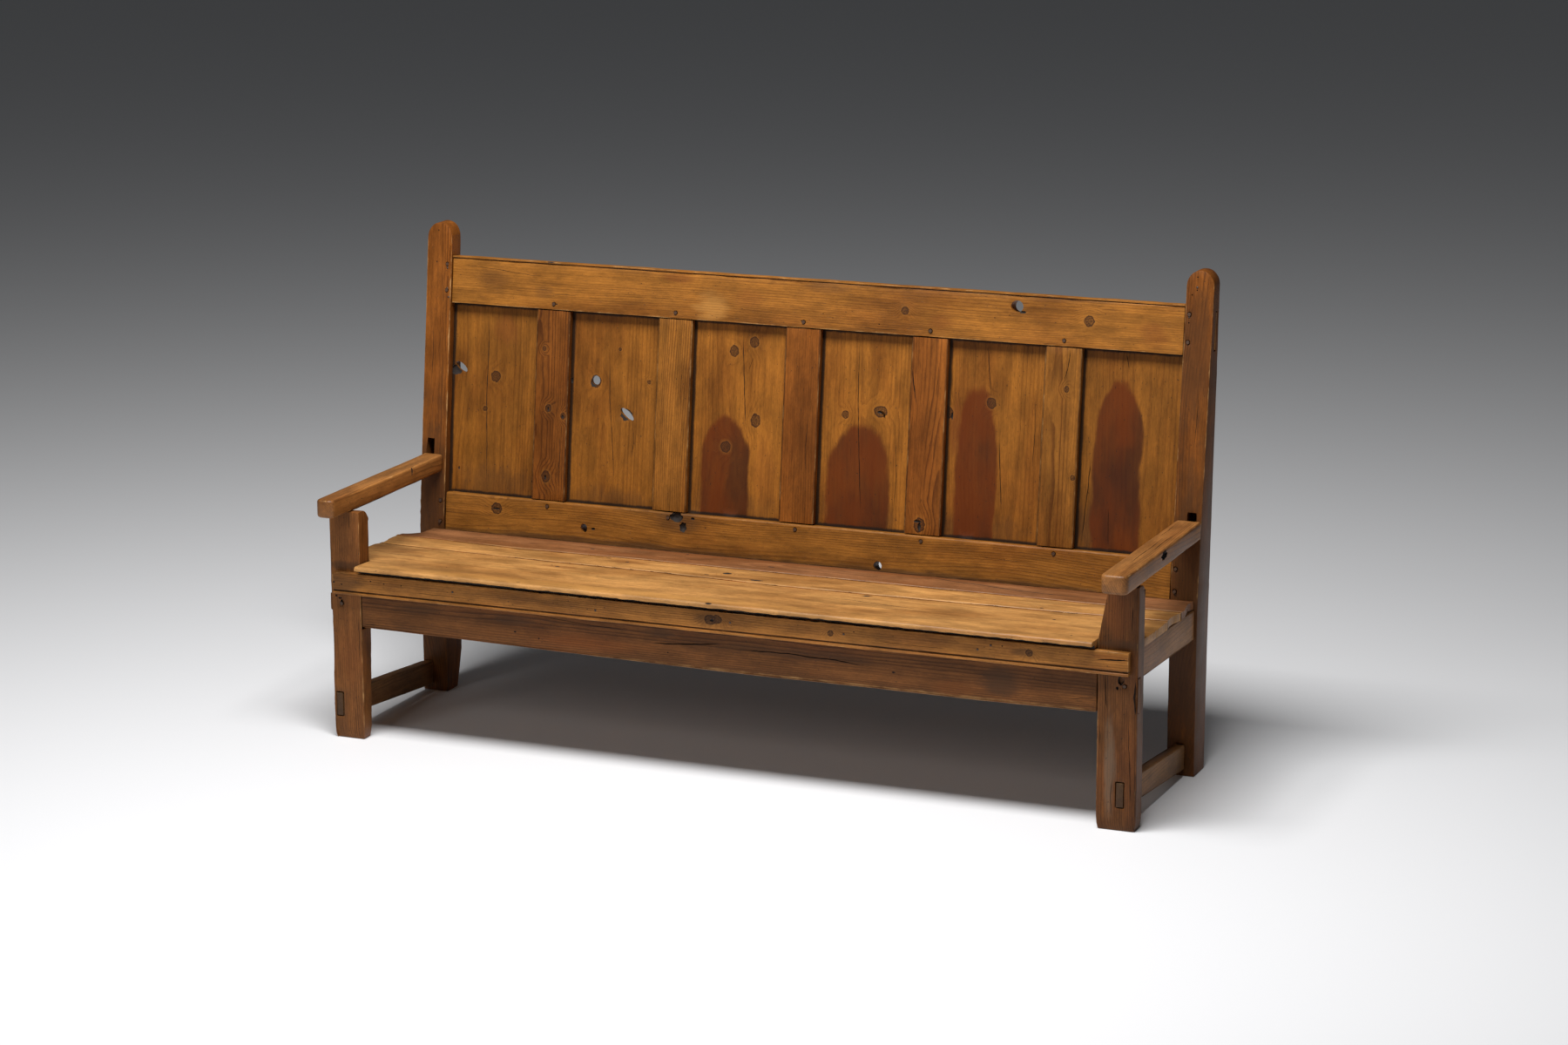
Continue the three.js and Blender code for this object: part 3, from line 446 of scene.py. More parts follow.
def clean_wood(wood, tone, light, contrast, stripes):
    """Two tones of a timber, with its rings, deeper patches and the shades of every layer."""
    pale, dark = (tuple(c * light for c in tint[:3]) + (1,) for tint in TONES[tone])
    colour = blend(rise(wood["Patch"], 0.42, 0.68, 0.0, PATCH_STRENGTH), pale, DEEP_COLOUR)
    colour = blend(times(wood["Late"], contrast), colour, dark)
    streak = rise(wood["Streak"], 0.3, 0.7, 1 - 0.20 * stripes, 1 + 0.18 * stripes)
    fibre = rise(wood["Fibre"], 0.3, 0.7, 0.86, 1.12)
    band = rise(wood["Band"], 0.3, 0.7, 1 - 0.20 * stripes, 1 + 0.14 * stripes)
    mottle = rise(wood["Mottle"], 0.32, 0.68, 0.74, 1.20)
    grit = rise(wood["Grit"], 0.3, 0.7, 0.88, 1.12)
    shade = times(times(times(streak, fibre), band), times(mottle, grit))
    return blend(1.0, colour, shade, "MULTIPLY")


# %% Lay wear, dirt, painted highlight and painted shade on it
UNEVEN = 0.010
RUBBED_AND_HIGHLIGHT_FROM = 0.0080
RUBBED_AND_HIGHLIGHT_TO = 0.0045
END_DIRT_FROM = 5.0 * MM
END_DIRT_TO = 1.0 * MM
SHADE_LINE_STRENGTH = 0.9


def off_middle(place, middle, axis):
    """How far a point lies from a middle along an axis, to either side."""
    return maths("ABSOLUTE", vector_maths("DOT_PRODUCT", vector_maths("SUBTRACT", place, middle), axis))


def lay_wear(colour, place, seeded, low, high, rubbed=0.6, grime=0.0, grime_width=0.012, lip=0.0,
             ends=0.0, lines=()):
    """Rubs the edges pale, a wear with a painted highlight in it, and lays dirt and painted shade along
    them, dirt on the ends, and painted shade as dark lines in grooves. lip is how deep an edge sits in a
    groove. lines holds the heights of lines and half their widths in mm."""
    distance = use_group(edge_group, Place=place, Low=tuple(low), High=tuple(high))["Distance"]
    uneven = times(noise(seeded, (26.0, 60.0, 60.0), 3.0, 0.6), UNEVEN)
    # Pale edges: wear and a painted highlight.
    if rubbed:
        worn_and_highlight = rise(plus(distance, uneven), RUBBED_AND_HIGHLIGHT_FROM, RUBBED_AND_HIGHLIGHT_TO)
        colour = blend(times(worn_and_highlight, rubbed), colour, RUBBED_AND_HIGHLIGHT_COLOUR)
    # Dark edges: grime and painted shade where the timber meets other parts.
    if grime:
        near = rise(minus(distance, times(uneven, 0.55)), lip + grime_width, lip - 2 * MM)
        colour = blend(times(near, grime), colour, DIRT_AND_SHADE_COLOUR)
    if ends:
        half_length = (high.x - low.x) / 2
        along = off_middle(place, tuple((low + high) / 2), (1.0, 0.0, 0.0))
        end = rise(along, half_length - END_DIRT_FROM, half_length - END_DIRT_TO)
        colour = blend(times(end, ends), colour, DIRT_AND_SHADE_COLOUR)
    # Dark lines: painted shade in the grooves of a quirk or bead.
    for y, half in lines:
        off_line = off_middle(place, (0.0, y, 0.0), (0.0, 1.0, 0.0))
        in_shade_line = rise(plus(off_line, times(uneven, 0.1)), half * 1.6 * MM, half * 0.7 * MM)
        colour = blend(times(in_shade_line, SHADE_LINE_STRENGTH), colour, DIRT_AND_SHADE_COLOUR)
    return colour


# %% The finish of a timber
STAIN_STRENGTH = 0.86
HALO_STRENGTH = 0.16
KNOT_STRENGTH = 0.95
BUMP_STRENGTH = 0.55
BUMP_HEIGHT = 0.0006


def pine(node, local, tone, seed, rings=230.0, pith=(0.10, -0.06), knots=(), stains=(), blotches=(),
         contrast=0.5, light=1.0, sheen=0.15, stripes=0.6, **wear):
    """The material of one timber. knots, stains and blotches hold places and radii in its frame.
    light makes both tones brighter or darker, and wear goes to lay_wear."""
    material = new_material("pine_" + node)
    shader = shader_of(material)
    place = timber_place(material.node_tree, local)
    low, high = local_box(node, local)
    middle = (low + high) / 2

    knot, halo, swirl = 0.0, 0.0, 0.0
    for x, y, along, across in knots:
        out = use_group(knot_group, Place=place, Centre=(x, y, high.z),
                        Radii=(along, across, 4 * (along + across)), Knot=knot, Halo=halo, Swirl=swirl)
        knot, halo, swirl = out["Knot"], out["Halo"], out["Swirl"]
    stain = 0.0
    for x, y, along, across in stains:
        stain = use_group(stain_group, Place=place, Centre=(x, y, 0.0), Radii=(along, across, 1.0),
                          Stain=stain)["Stain"]

    seeded = vector_maths("ADD", place, (seed * 7.31, -middle.y, -middle.z))
    wood = use_group(figure, Place=seeded, Pith=(0.0, *pith), Rings=rings, Swirl=swirl)
    colour = clean_wood(wood, tone, light, contrast, stripes)
    for kind, x, y, along, across, strength in blotches:
        colour = use_group(blotch_group, Place=place, Centre=(x, y, high.z), Radii=(along, across, 0.1),
                           Under=colour, Over=BLOTCHES[kind], Strength=strength)["Color"]
    if stains:
        flame = blend(rise(wood["Patch"], 0.35, 0.6), STAIN_COLOURS[1], STAIN_COLOURS[0])
        colour = blend(times(rise(stain, 0.2, 1.0), STAIN_STRENGTH), colour, flame)
    if knots:
        colour = blend(times(halo, HALO_STRENGTH), colour, HALO_COLOUR)
        colour = blend(times(knot, KNOT_STRENGTH), colour, KNOT_COLOUR)
    colour = lay_wear(colour, place, seeded, low, high, **wear)
    marks = larger(times(wood["Tick"], 0.5), times(wood["Speck"], 0.75))
    plug(blend(marks, colour, DIRT_AND_SHADE_COLOUR), shader.inputs["Base Color"])

    dull = plus(rise(wood["Patch"], 0.3, 0.7, 0.44, 0.30), times(wood["Fibre"], 0.16))
    plug(dull, shader.inputs["Roughness"])
    shader.inputs["Specular IOR Level"].default_value = sheen
    height = plus(times(wood["Late"], 0.5), times(wood["Fibre"], 0.6))
    bump = add_node("Bump", height)
    bump.inputs["Strength"].default_value = BUMP_STRENGTH
    bump.inputs["Distance"].default_value = BUMP_HEIGHT
    plug(minus(height, times(marks, 1.2)), bump.inputs["Height"])
    plug(bump.outputs[0], shader.inputs["Normal"])
    return material


# %% [markdown]
# ## Wearing a timber
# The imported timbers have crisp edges, and those of an old bench are rounded and dented. They could be
# sculpted by hand, one by one. A table of sizes and a function do it evenly for all: a copy of a
# timber is merged into a closed shell, its sharp edges are bevelled, and it is cut into short lengths,
# so that slow clouds of noise can hollow its faces by a fraction of a millimetre and nibble its edges
# a little more. All of it goes inwards, because wear only takes wood away.

# %% Clouds, modes and modifiers
def clouds(name, size):
    texture = bpy.data.textures.new(name, "CLOUDS")
    texture.noise_scale = size
    texture.noise_depth = 1
    return texture


SLOW_CLOUDS = clouds("slow_clouds", 0.13)
FINE_CLOUDS = clouds("fine_clouds", 0.021)


def set_mode(mode):
    bpy.ops.object.mode_set(mode=mode)


def only(piece):
    """Selects one object alone and makes it the active one."""
    bpy.ops.object.select_all(action="DESELECT")
    piece.select_set(True)
    bpy.context.view_layer.objects.active = piece


def apply_modifier(piece, kind, **settings):
    only(piece)
    modifier = piece.modifiers.new(kind.lower(), kind)
    for key, value in settings.items():
        setattr(modifier, key, value)
    bpy.ops.object.modifier_apply(modifier=modifier.name)


# %% Wear one timber
MERGE_GAP = 0.02 * MM
FLAT_ANGLE = math.radians(0.5)
SHARP_ANGLE = math.radians(35)


def hold_in(piece, local, low, high, bend=None):
    """Brings the points of a piece back into a box of its frame, and then bends them."""
    inverse = local.inverted()
    for vertex in piece.data.vertices:
        point = inverse @ vertex.co
        point = Vector([max(low[i], min(high[i], point[i])) for i in range(3)])
        vertex.co = local @ (bend(point) if bend else point)


def worn_copy(node, local, soften=1.4, step=30.0, width_step=25.0, hollow=0.9, nibble=1.6, bend=None,
              dissolve=True, slack=0.0):
    """A worn copy of a packed timber, which then stands for it. Sizes are in mm. bend moves a point
    of its frame, by up to slack metres past the box across the grain. dissolve merges flat faces."""
    piece = bpy.data.objects.new("worn_" + node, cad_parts[node].data.copy())
    bpy.context.scene.collection.objects.link(piece)
    piece.data.materials.clear()
    only(piece)
    bpy.ops.mesh.customdata_custom_splitnormals_clear()
    low, high = local_box(node, local)
    set_mode("EDIT")
    bpy.ops.mesh.select_mode(type="EDGE")
    bpy.ops.mesh.select_all(action="SELECT")
    bpy.ops.mesh.remove_doubles(threshold=MERGE_GAP)
    if dissolve:
        bpy.ops.mesh.dissolve_limited(angle_limit=FLAT_ANGLE)
    bpy.ops.mesh.select_all(action="DESELECT")
    bpy.ops.mesh.edges_select_sharp(sharpness=SHARP_ANGLE)
    bpy.ops.mesh.bevel(offset=soften * MM, segments=2, clamp_overlap=False)
    set_mode("OBJECT")
    edges = piece.vertex_groups.new(name="edges")
    edges.add([v.index for v in piece.data.vertices if v.select], 1.0, "REPLACE")
    set_mode("EDIT")
    for axis, spacing in ((0, step), (1, width_step)):
        direction = local.to_3x3().col[axis]
        count = int((high[axis] - low[axis]) / (spacing * MM))
        for i in range(1, count + 1):
            at = low.copy()
            at[axis] += (high[axis] - low[axis]) * i / (count + 1)
            bpy.ops.mesh.select_all(action="SELECT")
            bpy.ops.mesh.bisect(plane_co=local @ at, plane_no=direction)
    set_mode("OBJECT")
    hold_in(piece, local, low, high, bend)
    apply_modifier(piece, "DISPLACE", texture=SLOW_CLOUDS, strength=hollow * MM, mid_level=1.0)
    apply_modifier(piece, "DISPLACE", texture=FINE_CLOUDS, strength=nibble * MM, mid_level=1.0,
                   vertex_group="edges")
    spare = Vector((0.0, slack, 0.0))
    hold_in(piece, local, low - spare, high + spare)
    apply_modifier(piece, "TRIANGULATE")
    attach(piece, "root")
    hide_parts(node)
    return piece


# %% [markdown]
# ## Cracks, dents and broken edges
# Old pine splits along the grain, loses splinters round its knots, and breaks away at its ends. Dark
# lines in the material would show from the front alone, so each such place is cut out. A cutter is a
# bar of thin slices for a crack or a broken edge, and a rough ball for a dent. The cutters of a
# timber are joined and cut out with one Boolean, which is quick and leaves the shell closed. It also
# gives the new faces a near-black fill: the dirt that sits in them, and painted shade for how dark the
# narrow gaps look.

# %% Mix dark dirt and painted shade
def specked(name, waves, first, second, roughness, detail_rough=0.5, low=None, high=None):
    """A material of two colours that noise mixes."""
    material = new_material(name)
    place = material.node_tree.nodes.new("ShaderNodeTexCoord").outputs["Object"]
    grains = noise(place, waves, 3.0, detail_rough)
    if low is not None:
        grains = rise(grains, low, high)
    plug(blend(grains, first, second), shader_of(material).inputs["Base Color"])
    shader_of(material).inputs["Roughness"].default_value = roughness
    return material


# The near-black fill of every cut: dirt in cracks and painted shade in the narrow gaps.
crack_dirt_and_shade = specked("crack_dirt_and_shade", (220.0, 220.0, 220.0), (0.003, 0.002, 0.002, 1),
                     (0.020, 0.010, 0.005, 1), 0.85)


# %% Slice a bar
CUT_SLICE = 4.0 * MM
FEWEST_SLICES = 5


def on_line(points, x):
    """The height at x of a broken line whose points run upwards in x."""
    for (x0, y0), (x1, y1) in zip(points, points[1:]):
        if x <= x1:
            break
    return y0 + (y1 - y0) * (x - x0) / (x1 - x0)


def bar_of_slices(local, start, end, place, material):
    """A closed bar along x. place puts each corner: x, whether it is on the far side, whether deep."""
    bpy.ops.object.select_all(action="DESELECT")
    slices = max(FEWEST_SLICES, round((end - start) / CUT_SLICE))
    bpy.ops.mesh.primitive_grid_add(x_subdivisions=slices, y_subdivisions=1, size=1)
    bar = bpy.context.object
    set_mode("EDIT")
    bpy.ops.mesh.extrude_region_move(TRANSFORM_OT_translate={"value": (0, 0, -1)})
    set_mode("OBJECT")
    for vertex in bar.data.vertices:
        x = start + (end - start) * (vertex.co.x + 0.5)
        vertex.co = local @ Vector(place(x, vertex.co.y > 0, vertex.co.z < -0.5))
    set_mode("EDIT")
    bpy.ops.mesh.select_all(action="SELECT")
    bpy.ops.mesh.normals_make_consistent(inside=False)
    set_mode("OBJECT")
    bar.data.materials.append(material)
    return bar


# %% Cut cracks and broken edges
ABOVE_FACE = 2.5 * MM
CRACK_TAPER = 0.12
CRACK_STRAY = 0.8 * MM
PINCHED_SHARE = 0.15
PINCH_RATE = 5
RAGGED_SHARE = 0.7
THINNEST_SHARE = 0.45


def crack(local, surface, points, width, depth):
    """A wedge with ragged sides and pinched ends along a broken line on a face. Width and depth are
    in mm."""
    points = sorted(points)
    start, end = points[0][0], points[-1][0]

    def place(x, far, deep):
        share = (x - start) / (end - start)
        fat = max(PINCHED_SHARE, min(1.0, PINCH_RATE * share, PINCH_RATE * (1 - share)))
        ragged = 1.0 + RAGGED_SHARE * ragged_noise.noise((70 * x, 9.0 if far else 3.0, 20 * points[0][1]))
        half = 0.5 * width * MM * fat * max(THINNEST_SHARE, ragged) * (CRACK_TAPER if deep else 1.0)
        stray = CRACK_STRAY * ragged_noise.noise((45 * x, 1.0, 30 * points[0][1]))
        middle = on_line(points, x) + stray
        bottom = surface - depth * MM * fat
        return (x, middle + (half if far else -half), bottom if deep else surface + ABOVE_FACE)

    return bar_of_slices(local, start, end, place, crack_dirt_and_shade)


def broken_edge(local, points, beyond, bottom, top, ragged, material=crack_dirt_and_shade):
    """A slab from a broken line out past an edge, which shows as a new edge, ragged by so many mm."""
    def place(x, far, deep):
        stray = ragged * MM * ragged_noise.noise((60 * x, 40 * points[0][1], 8.0 if deep else 0.0))
        return (x, beyond if far else on_line(points, x) + stray, bottom if deep else top)

    return bar_of_slices(local, points[0][0], points[-1][0], place, material)


# %% Dent and carve
def gouge(local, centre, radii, rough=0.35):
    """A rough ball at a place in a frame. Radii are in mm."""
    bpy.ops.object.select_all(action="DESELECT")
    bpy.ops.mesh.primitive_ico_sphere_add(subdivisions=3, radius=1)
    ball = bpy.context.object
    for vertex in ball.data.vertices:
        swell = 1 + rough * ragged_noise.noise(vertex.co * 2.1 + Vector(centre) * 50)
        point = [centre[i] + radii[i] * MM * swell * vertex.co[i] for i in range(3)]
        vertex.co = local @ Vector(point)
    ball.data.materials.append(crack_dirt_and_shade)
    return ball


def carve(piece, cutters):
    """Cuts all the cutters out of a piece at once. They may not touch each other."""
    only(cutters[0])
    for cutter in cutters:
        cutter.select_set(True)
    if len(cutters) > 1:
        bpy.ops.object.join()
    cutter = bpy.context.object
    apply_modifier(piece, "BOOLEAN", object=cutter, operation="DIFFERENCE", solver="MANIFOLD",
                   material_mode="TRANSFER")
    bpy.data.objects.remove(cutter, do_unlink=True)
    print(piece.name, "cut to", len(piece.data.polygons), "faces")


# %% [markdown]
# ## The timbers
# Now each timber is worn, finished and cut. The tables hold what each has been through, in
# millimetres on its own face: along the bench, and up the back, up from the floor or back along the
# seat.

# %% Find places on a worn face
def depth_of_face(piece, local, place, packed_face):
    """How high the worn face lies in its frame under a place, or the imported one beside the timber."""
    outward = local.to_3x3().col[2]
    start = local @ Vector((place[0], place[1], 0.0)) + outward
    hit, where, _, _ = piece.ray_cast(start, -outward)
    return (local.inverted() @ where).z if hit else packed_face


def on_face(local, x, height):
    """A point of a face in the frame of its timber, from millimetres along and up."""
    return upright(x, height) if local in (BACK_UPRIGHTS, LEGS) else level(x, height)


# %% Make one timber
pieces = {}


def make(node, local, tone, seed, slot, shape=None, cracks=(), dents=(), **finish):
    """One finished timber. cracks: width, depth, points. dents: x, height, three radii."""
    for kind in ("knots", "stains"):
        finish[kind] = [(*on_face(local, x, height), along * MM, across * MM)
                        for x, height, along, across in finish.get(kind, ())]
    finish["blotches"] = [(colour, *on_face(local, x, height), along * MM, across * MM, strength)
                          for colour, x, height, along, across, strength in finish.get("blotches", ())]
    piece = worn_copy(node, local, **(shape or {}))
    piece.data.materials.append(pine(node, local, tone, seed, **finish))
    bpy.context.view_layer.update()
    packed_face = local_box(node, local)[1].z
    cutters = []
    for width, depth, points in cracks:
        points = [on_face(local, *point) for point in points]
        surface = min(depth_of_face(piece, local, point, packed_face) for point in points)
        cutters.append(crack(local, surface, points, width, depth))
    for x, height, *radii in dents:
        place = on_face(local, x, height)
        surface = depth_of_face(piece, local, place, packed_face)
        cutters.append(gouge(local, (*place, surface), radii))
    if cutters:
        carve(piece, cutters)
    else:
        print(piece.name, "worn to", len(piece.data.polygons), "faces")
    pieces[node] = piece


# %% [markdown]
# ## The rails of the back
# Two long rails hold the panels in a groove. The quirk, a scratched line under the edge of the upper
# one, is in the imported timber, and the shade in it is painted as a dark line, which could follow the
# hollow. Its height is known, so that is enough. Small round dents are old nail holes, and the lower
# rail has lost a piece of its edge.

# %% Make the rails of the back
QUIRK_BELOW = 5.75 * MM
QUIRK_HALF = 1.25
TOP_QUIRK = local_box("top_rail", BACK_RAILS)[1].y - QUIRK_BELOW
make("top_rail", BACK_RAILS, "honey", 1.0, "honey_pine", pith=(0.09, -0.05), light=0.88,
     lines=((TOP_QUIRK, QUIRK_HALF),),
     knots=[(248, 583, 9, 9), (687, 588, 12, 12)],
     blotches=[("dark", -798, 591, 46, 30, 0.35), ("dark", -666, 568, 26, 18, 0.3),
               ("red", -140, 585, 34, 26, 0.3), ("red", -318, 622, 45, 12, 0.5),
               ("red", 838, 567, 34, 30, 0.45), ("red", 334, 562, 30, 24, 0.4),
               ("dark", 54, 622, 60, 12, 0.4), ("dark", 268, 617, 40, 16, 0.3),
               ("pale", -232, 560, 44, 34, 0.4)],
     cracks=[(1.6, 1.6, [(-906, 619), (-852, 618), (-794, 614), (-748, 610), (-701, 605), (-633, 605)]),
             (1.6, 2.0, [(-645, 563), (-610, 565), (-574, 563)]),
             (1.6, 1.5, [(120, 540), (180, 536), (250, 538)])],
     dents=[(-630, 541, 1.8, 1.6, 2), (-324, 541, 1.6, 1.6, 2), (-5, 543, 1.8, 1.5, 2),
            (311, 543, 1.6, 1.6, 2), (626, 540, 1.8, 1.6, 2), (48, 563, 1.5, 1.2, 2),
            (72, 555, 1.2, 1.2, 2), (186, 548, 2.0, 1.3, 2), (464, 581, 1.4, 1.2, 2),
            (499, 589, 1.4, 1.2, 2), (-649, 642, 20, 4.5, 8), (530, 598, 8, 3, 3)])
make("bottom_rail", BACK_RAILS, "honey", 2.0, "honey_pine", pith=(-0.08, -0.07), light=0.70,
     knots=[(-771, 43, 14, 13)],
     # The two long dark blotches along the foot are painted shade where the rail meets the seat.
     blotches=[("dark", -500, -20, 500, 14, 0.7), ("dark", 400, -22, 500, 14, 0.7),
               ("dark", -300, 52, 60, 26, 0.6)],
     cracks=[(1.6, 3.0, [(-250, 61), (-205, 57), (-150, 56)]),
             (1.6, 2.0, [(420, 38), (520, 34), (600, 36)])],
     dents=[(-301, 62, 17, 12, 9), (-283, 40, 9, 12, 6), (-259, 62, 5, 3, 4), (-771, 43, 9, 2, 3),
            (-515, 16, 5, 3, 4), (-226, 43, 1.5, 1.2, 2)])


# %% [markdown]
# ## The muntins
# A muntin is the upright strip between two panels. The five could be copies of one. They differ in
# knots and cracks, so a loop makes them from a table, each with a pith and so a figure of its own.

# %% Make the muntins
MUNTIN_WEAR = {
    1: {"knots": [(-659, 434, 6, 5), (-644, 293, 9, 8), (-605, 277, 8, 7), (-645, 130, 14, 11)],
        "dents": [(-644, 291, 5, 2, 2.5), (-606, 276, 5, 3, 3), (-646, 128, 6, 2.5, 3)],
        "cracks": [(1.9, 3.0, [(-612, 240), (-610, 180), (-613, 108)])], "tone": "amber", "light": 0.75},
    2: {"tone": "honey", "light": 0.76, "cracks": [(1.6, 3.0, [(-300, 420), (-303, 350), (-299, 300)])]},
    3: {"tone": "amber", "cracks": [(1.6, 3.0, [(20, 330), (17, 250), (19, 190)])]},
    4: {"knots": [(305, 96, 17, 13)], "tone": "amber",
        "cracks": [(3.5, 4.0, [(271, 452), (277, 410), (285, 370)]), (1.6, 3.0, [(335, 470), (333, 390)])],
        "dents": [(305, 92, 10, 4, 4), (300, 104, 3, 9, 3)]},
    5: {"knots": [(641, 432, 7, 6), (666, 234, 6, 6)], "tone": "honey", "light": 0.70,
        "cracks": [(2.4, 3.0, [(647, 525), (642, 480), (634, 445)])]},
}
MUNTIN_PITHS = [(0.03, -0.035), (-0.12, -0.05), (0.10, -0.06), (-0.05, -0.05), (0.02, -0.05)]
# The dark edges of the muntins are grime and painted shade where they meet panels and rails.
for i in range(5):
    make(f"muntin_{i + 1}", BACK_UPRIGHTS, seed=3.0 + i, slot="honey_pine", pith=MUNTIN_PITHS[i],
         rings=210.0, contrast=0.75, grime=0.5, grime_width=0.004, **MUNTIN_WEAR[i + 1])


# %% [markdown]
# ## The panels
# The six panels are thin, wide boards, and wax has stained four of them in flames that rise from the
# foot. A stain could be painted, but a distance that noise makes ragged needs no image. The edges sit
# 12 mm deep in grooves, so the dark band along them, grime and painted shade where the frame meets the
# panel, starts that far in. A dent in a knot shows where it has opened.

# %% Make the panels
PANEL_IN_GROOVE = 12.0 * MM
PANEL_WEAR = {
    1: {"knots": [(-794, 357, 13, 12), (-820, 278, 6, 6)], "light": 0.76,
        "blotches": [("red", -770, 470, 44, 30, 0.45), ("dark", -780, 90, 60, 110, 0.4)],
        "cracks": [(2.4, 4.0, [(-819, 520), (-815, 430), (-817, 300), (-812, 180), (-811, 88)])],
        "dents": [(-885, 130, 4, 2, 2), (-900, 366, 12, 16, 3.5)]},
    2: {"knots": [(-530, 364, 14, 13), (-393, 372, 5, 5), (-470, 444, 4, 4)], "light": 0.84,
        "blotches": [("dark", -480, 80, 40, 110, 0.45)],
        "cracks": [(2.1, 4.0, [(-497, 444), (-493, 330), (-480, 200), (-473, 116)]),
                   (1.6, 3.0, [(-428, 262), (-427, 230), (-431, 190)])],
        "dents": [(-592, 362, 7, 3, 3), (-448, 290, 15, 16, 3.5), (-533, 361, 12.5, 12, 3)]},
    3: {"knots": [(-178, 460, 13, 11), (-128, 484, 13, 11), (-118, 302, 15, 12), (-191, 235, 13, 12)],
        "stains": [(-190, 200, 110, 62)],
        "blotches": [("dark", -160, 90, 50, 110, 0.4), ("red", -90, 180, 90, 30, 0.3)],
        "cracks": [(2.4, 4.0, [(-158, 512), (-153, 430), (-146, 330), (-139, 266)]),
                   (1.9, 2.0, [(-130, 448), (-139, 420)])]},
    4: {"knots": [(105, 333, 9, 8), (192, 346, 13, 16)],
        "stains": [(142, 180, 138, 80)],
        "blotches": [("dark", 150, 100, 60, 100, 0.5)],
        "cracks": [(2.4, 4.0, [(133, 518), (134, 420), (137, 328), (146, 200), (155, 87)]),
                   (1.8, 3.0, [(232, 300), (236, 200), (234, 120)]),
                   (1.9, 2.5, [(180, 352), (207, 341)])],
        "dents": [(192, 345, 3, 9, 2.5)]},
    5: {"knots": [(354, 357, 14, 13), (459, 386, 12, 11)], "light": 0.88,
        "stains": [(428, 250, 178, 52)],
        "blotches": [("red", 375, 320, 60, 26, 0.6), ("dark", 440, 90, 50, 120, 0.45)],
        "cracks": [(2.4, 4.0, [(444, 519), (450, 460), (457, 405)]),
                   (2.4, 4.0, [(481, 314), (488, 220), (495, 136)]),
                   (1.8, 3.0, [(560, 430), (566, 330), (563, 240)])],
        "dents": [(366, 350, 8, 2.5, 3)]},
    6: {"stains": [(764, 330, 130, 58)], "light": 0.76,
        "blotches": [("dark", 764, 200, 110, 56, 0.5), ("dark", 700, 120, 60, 60, 0.6)],
        "cracks": [(2.4, 4.0, [(702, 292), (695, 180), (687, 78)]), (1.8, 3.0, [(747, 178), (752, 76)]),
                   (1.8, 3.0, [(771, 522), (776, 500), (781, 484)])]},
}
for i in range(6):
    make(f"back_panel_{i + 1}", BACK_UPRIGHTS, "panel", 11.0 + i, "honey_pine", rings=150.0,
         pith=(0.03 - 0.012 * i, -0.07), stripes=0.35, contrast=0.42, grime=0.92, grime_width=0.003,
         lip=PANEL_IN_GROOVE, rubbed=0.0, **PANEL_WEAR[i + 1])


# %% [markdown]
# ## The posts
# The posts change direction at the seat, and their tops are rounded. Below the seat they are painted
# darker, as painted shade under the seat. A second material could darken them there, but it would end
# in a line, and one long soft blotch doesn't. The flat faces of the left post aren't merged, because
# that would open its shell.

# %% Make the posts
make("back_post_left", BACK_UPRIGHTS, "amber", 21.0, "honey_pine", pith=(0.05, -0.05), contrast=0.8,
     shape={"dissolve": False}, light=0.92, rings=260.0,
     # The long dark blotch below the seat is painted shade.
     blotches=[("dark", -940, -100, 420, 100, 0.75)],
     cracks=[(1.6, 3.0, [(-952, 480), (-950, 400), (-953, 330)]), (1.6, 2.0, [(-930, 600), (-928, 520)])],
     dents=[(-945, 698, 1.5, 1.5, 3), (-947, 623, 2, 1.5, 3)])
make("back_post_right", BACK_UPRIGHTS, "amber", 22.0, "honey_pine", pith=(-0.05, -0.05), contrast=0.6,
     shape={"soften": 2.2}, rings=260.0, light=0.68,
     # The first dark blotch, below the seat, is painted shade.
     blotches=[("dark", 940, -100, 420, 100, 0.7), ("dark", 930, 520, 160, 60, 0.5)],
     cracks=[(1.6, 3.0, [(948, 470), (950, 400), (946, 320)])],
     dents=[(923, 662, 1.6, 1.6, 3), (934, 673, 1.6, 1.6, 3), (919, 600, 1.6, 1.6, 3),
            (916, 555, 1.8, 1.8, 3), (934, 702, 1.6, 1.6, 3)])


# %% [markdown]
# ## The arms
# Hands have rounded the edges of the arms the most, so their bevel is the widest, and they shine a
# little more. The right one has a hole in its outer face and the left one a notch inside. A dent in
# a table sits on the top face, so both are cut on their own, with the same rough ball.

# %% Make the arms
ARM_HOLE = ((-0.060, 0.573), (20, 9, 9), 0.5)
ARM_NOTCH = ((0.060, 0.578), (3, 6, 10), 0.4)
make("arm_left", SIDE_RAILS, "arm", 23.0, "honey_pine", shape={"soften": 4.0}, contrast=0.7, sheen=0.3)
make("arm_right", SIDE_RAILS, "arm", 24.0, "honey_pine", shape={"soften": 4.0}, contrast=0.7, sheen=0.3,
     cracks=[(2.0, 3, [(-210, -944), (-120, -941), (-40, -943), (30, -940)]),
             (1.8, 3, [(-90, -956), (10, -953), (100, -955)]),
             (1.8, 3, [(50, -928), (110, -930), (165, -927)])])
for node, ((along, height), radii, rough) in (("arm_right", ARM_HOLE), ("arm_left", ARM_NOTCH)):
    side = local_box(node, SIDE_RAILS)[0].y
    carve(pieces[node], [gouge(SIDE_RAILS, (along, side, height), radii, rough)])


# %% [markdown]
# ## The seat
# The front and the middle board don't meet in a straight line: it bows by some 15 mm. The boards
# could be drawn anew with curved edges. Moving the points of the imported ones keeps their notches and
# rounded front, so each point follows the two joints by its share of the width. Then the joints are
# cut as long cracks, with a near-black fill of dirt and painted shade in them, and the ends of the
# boards are broken away.

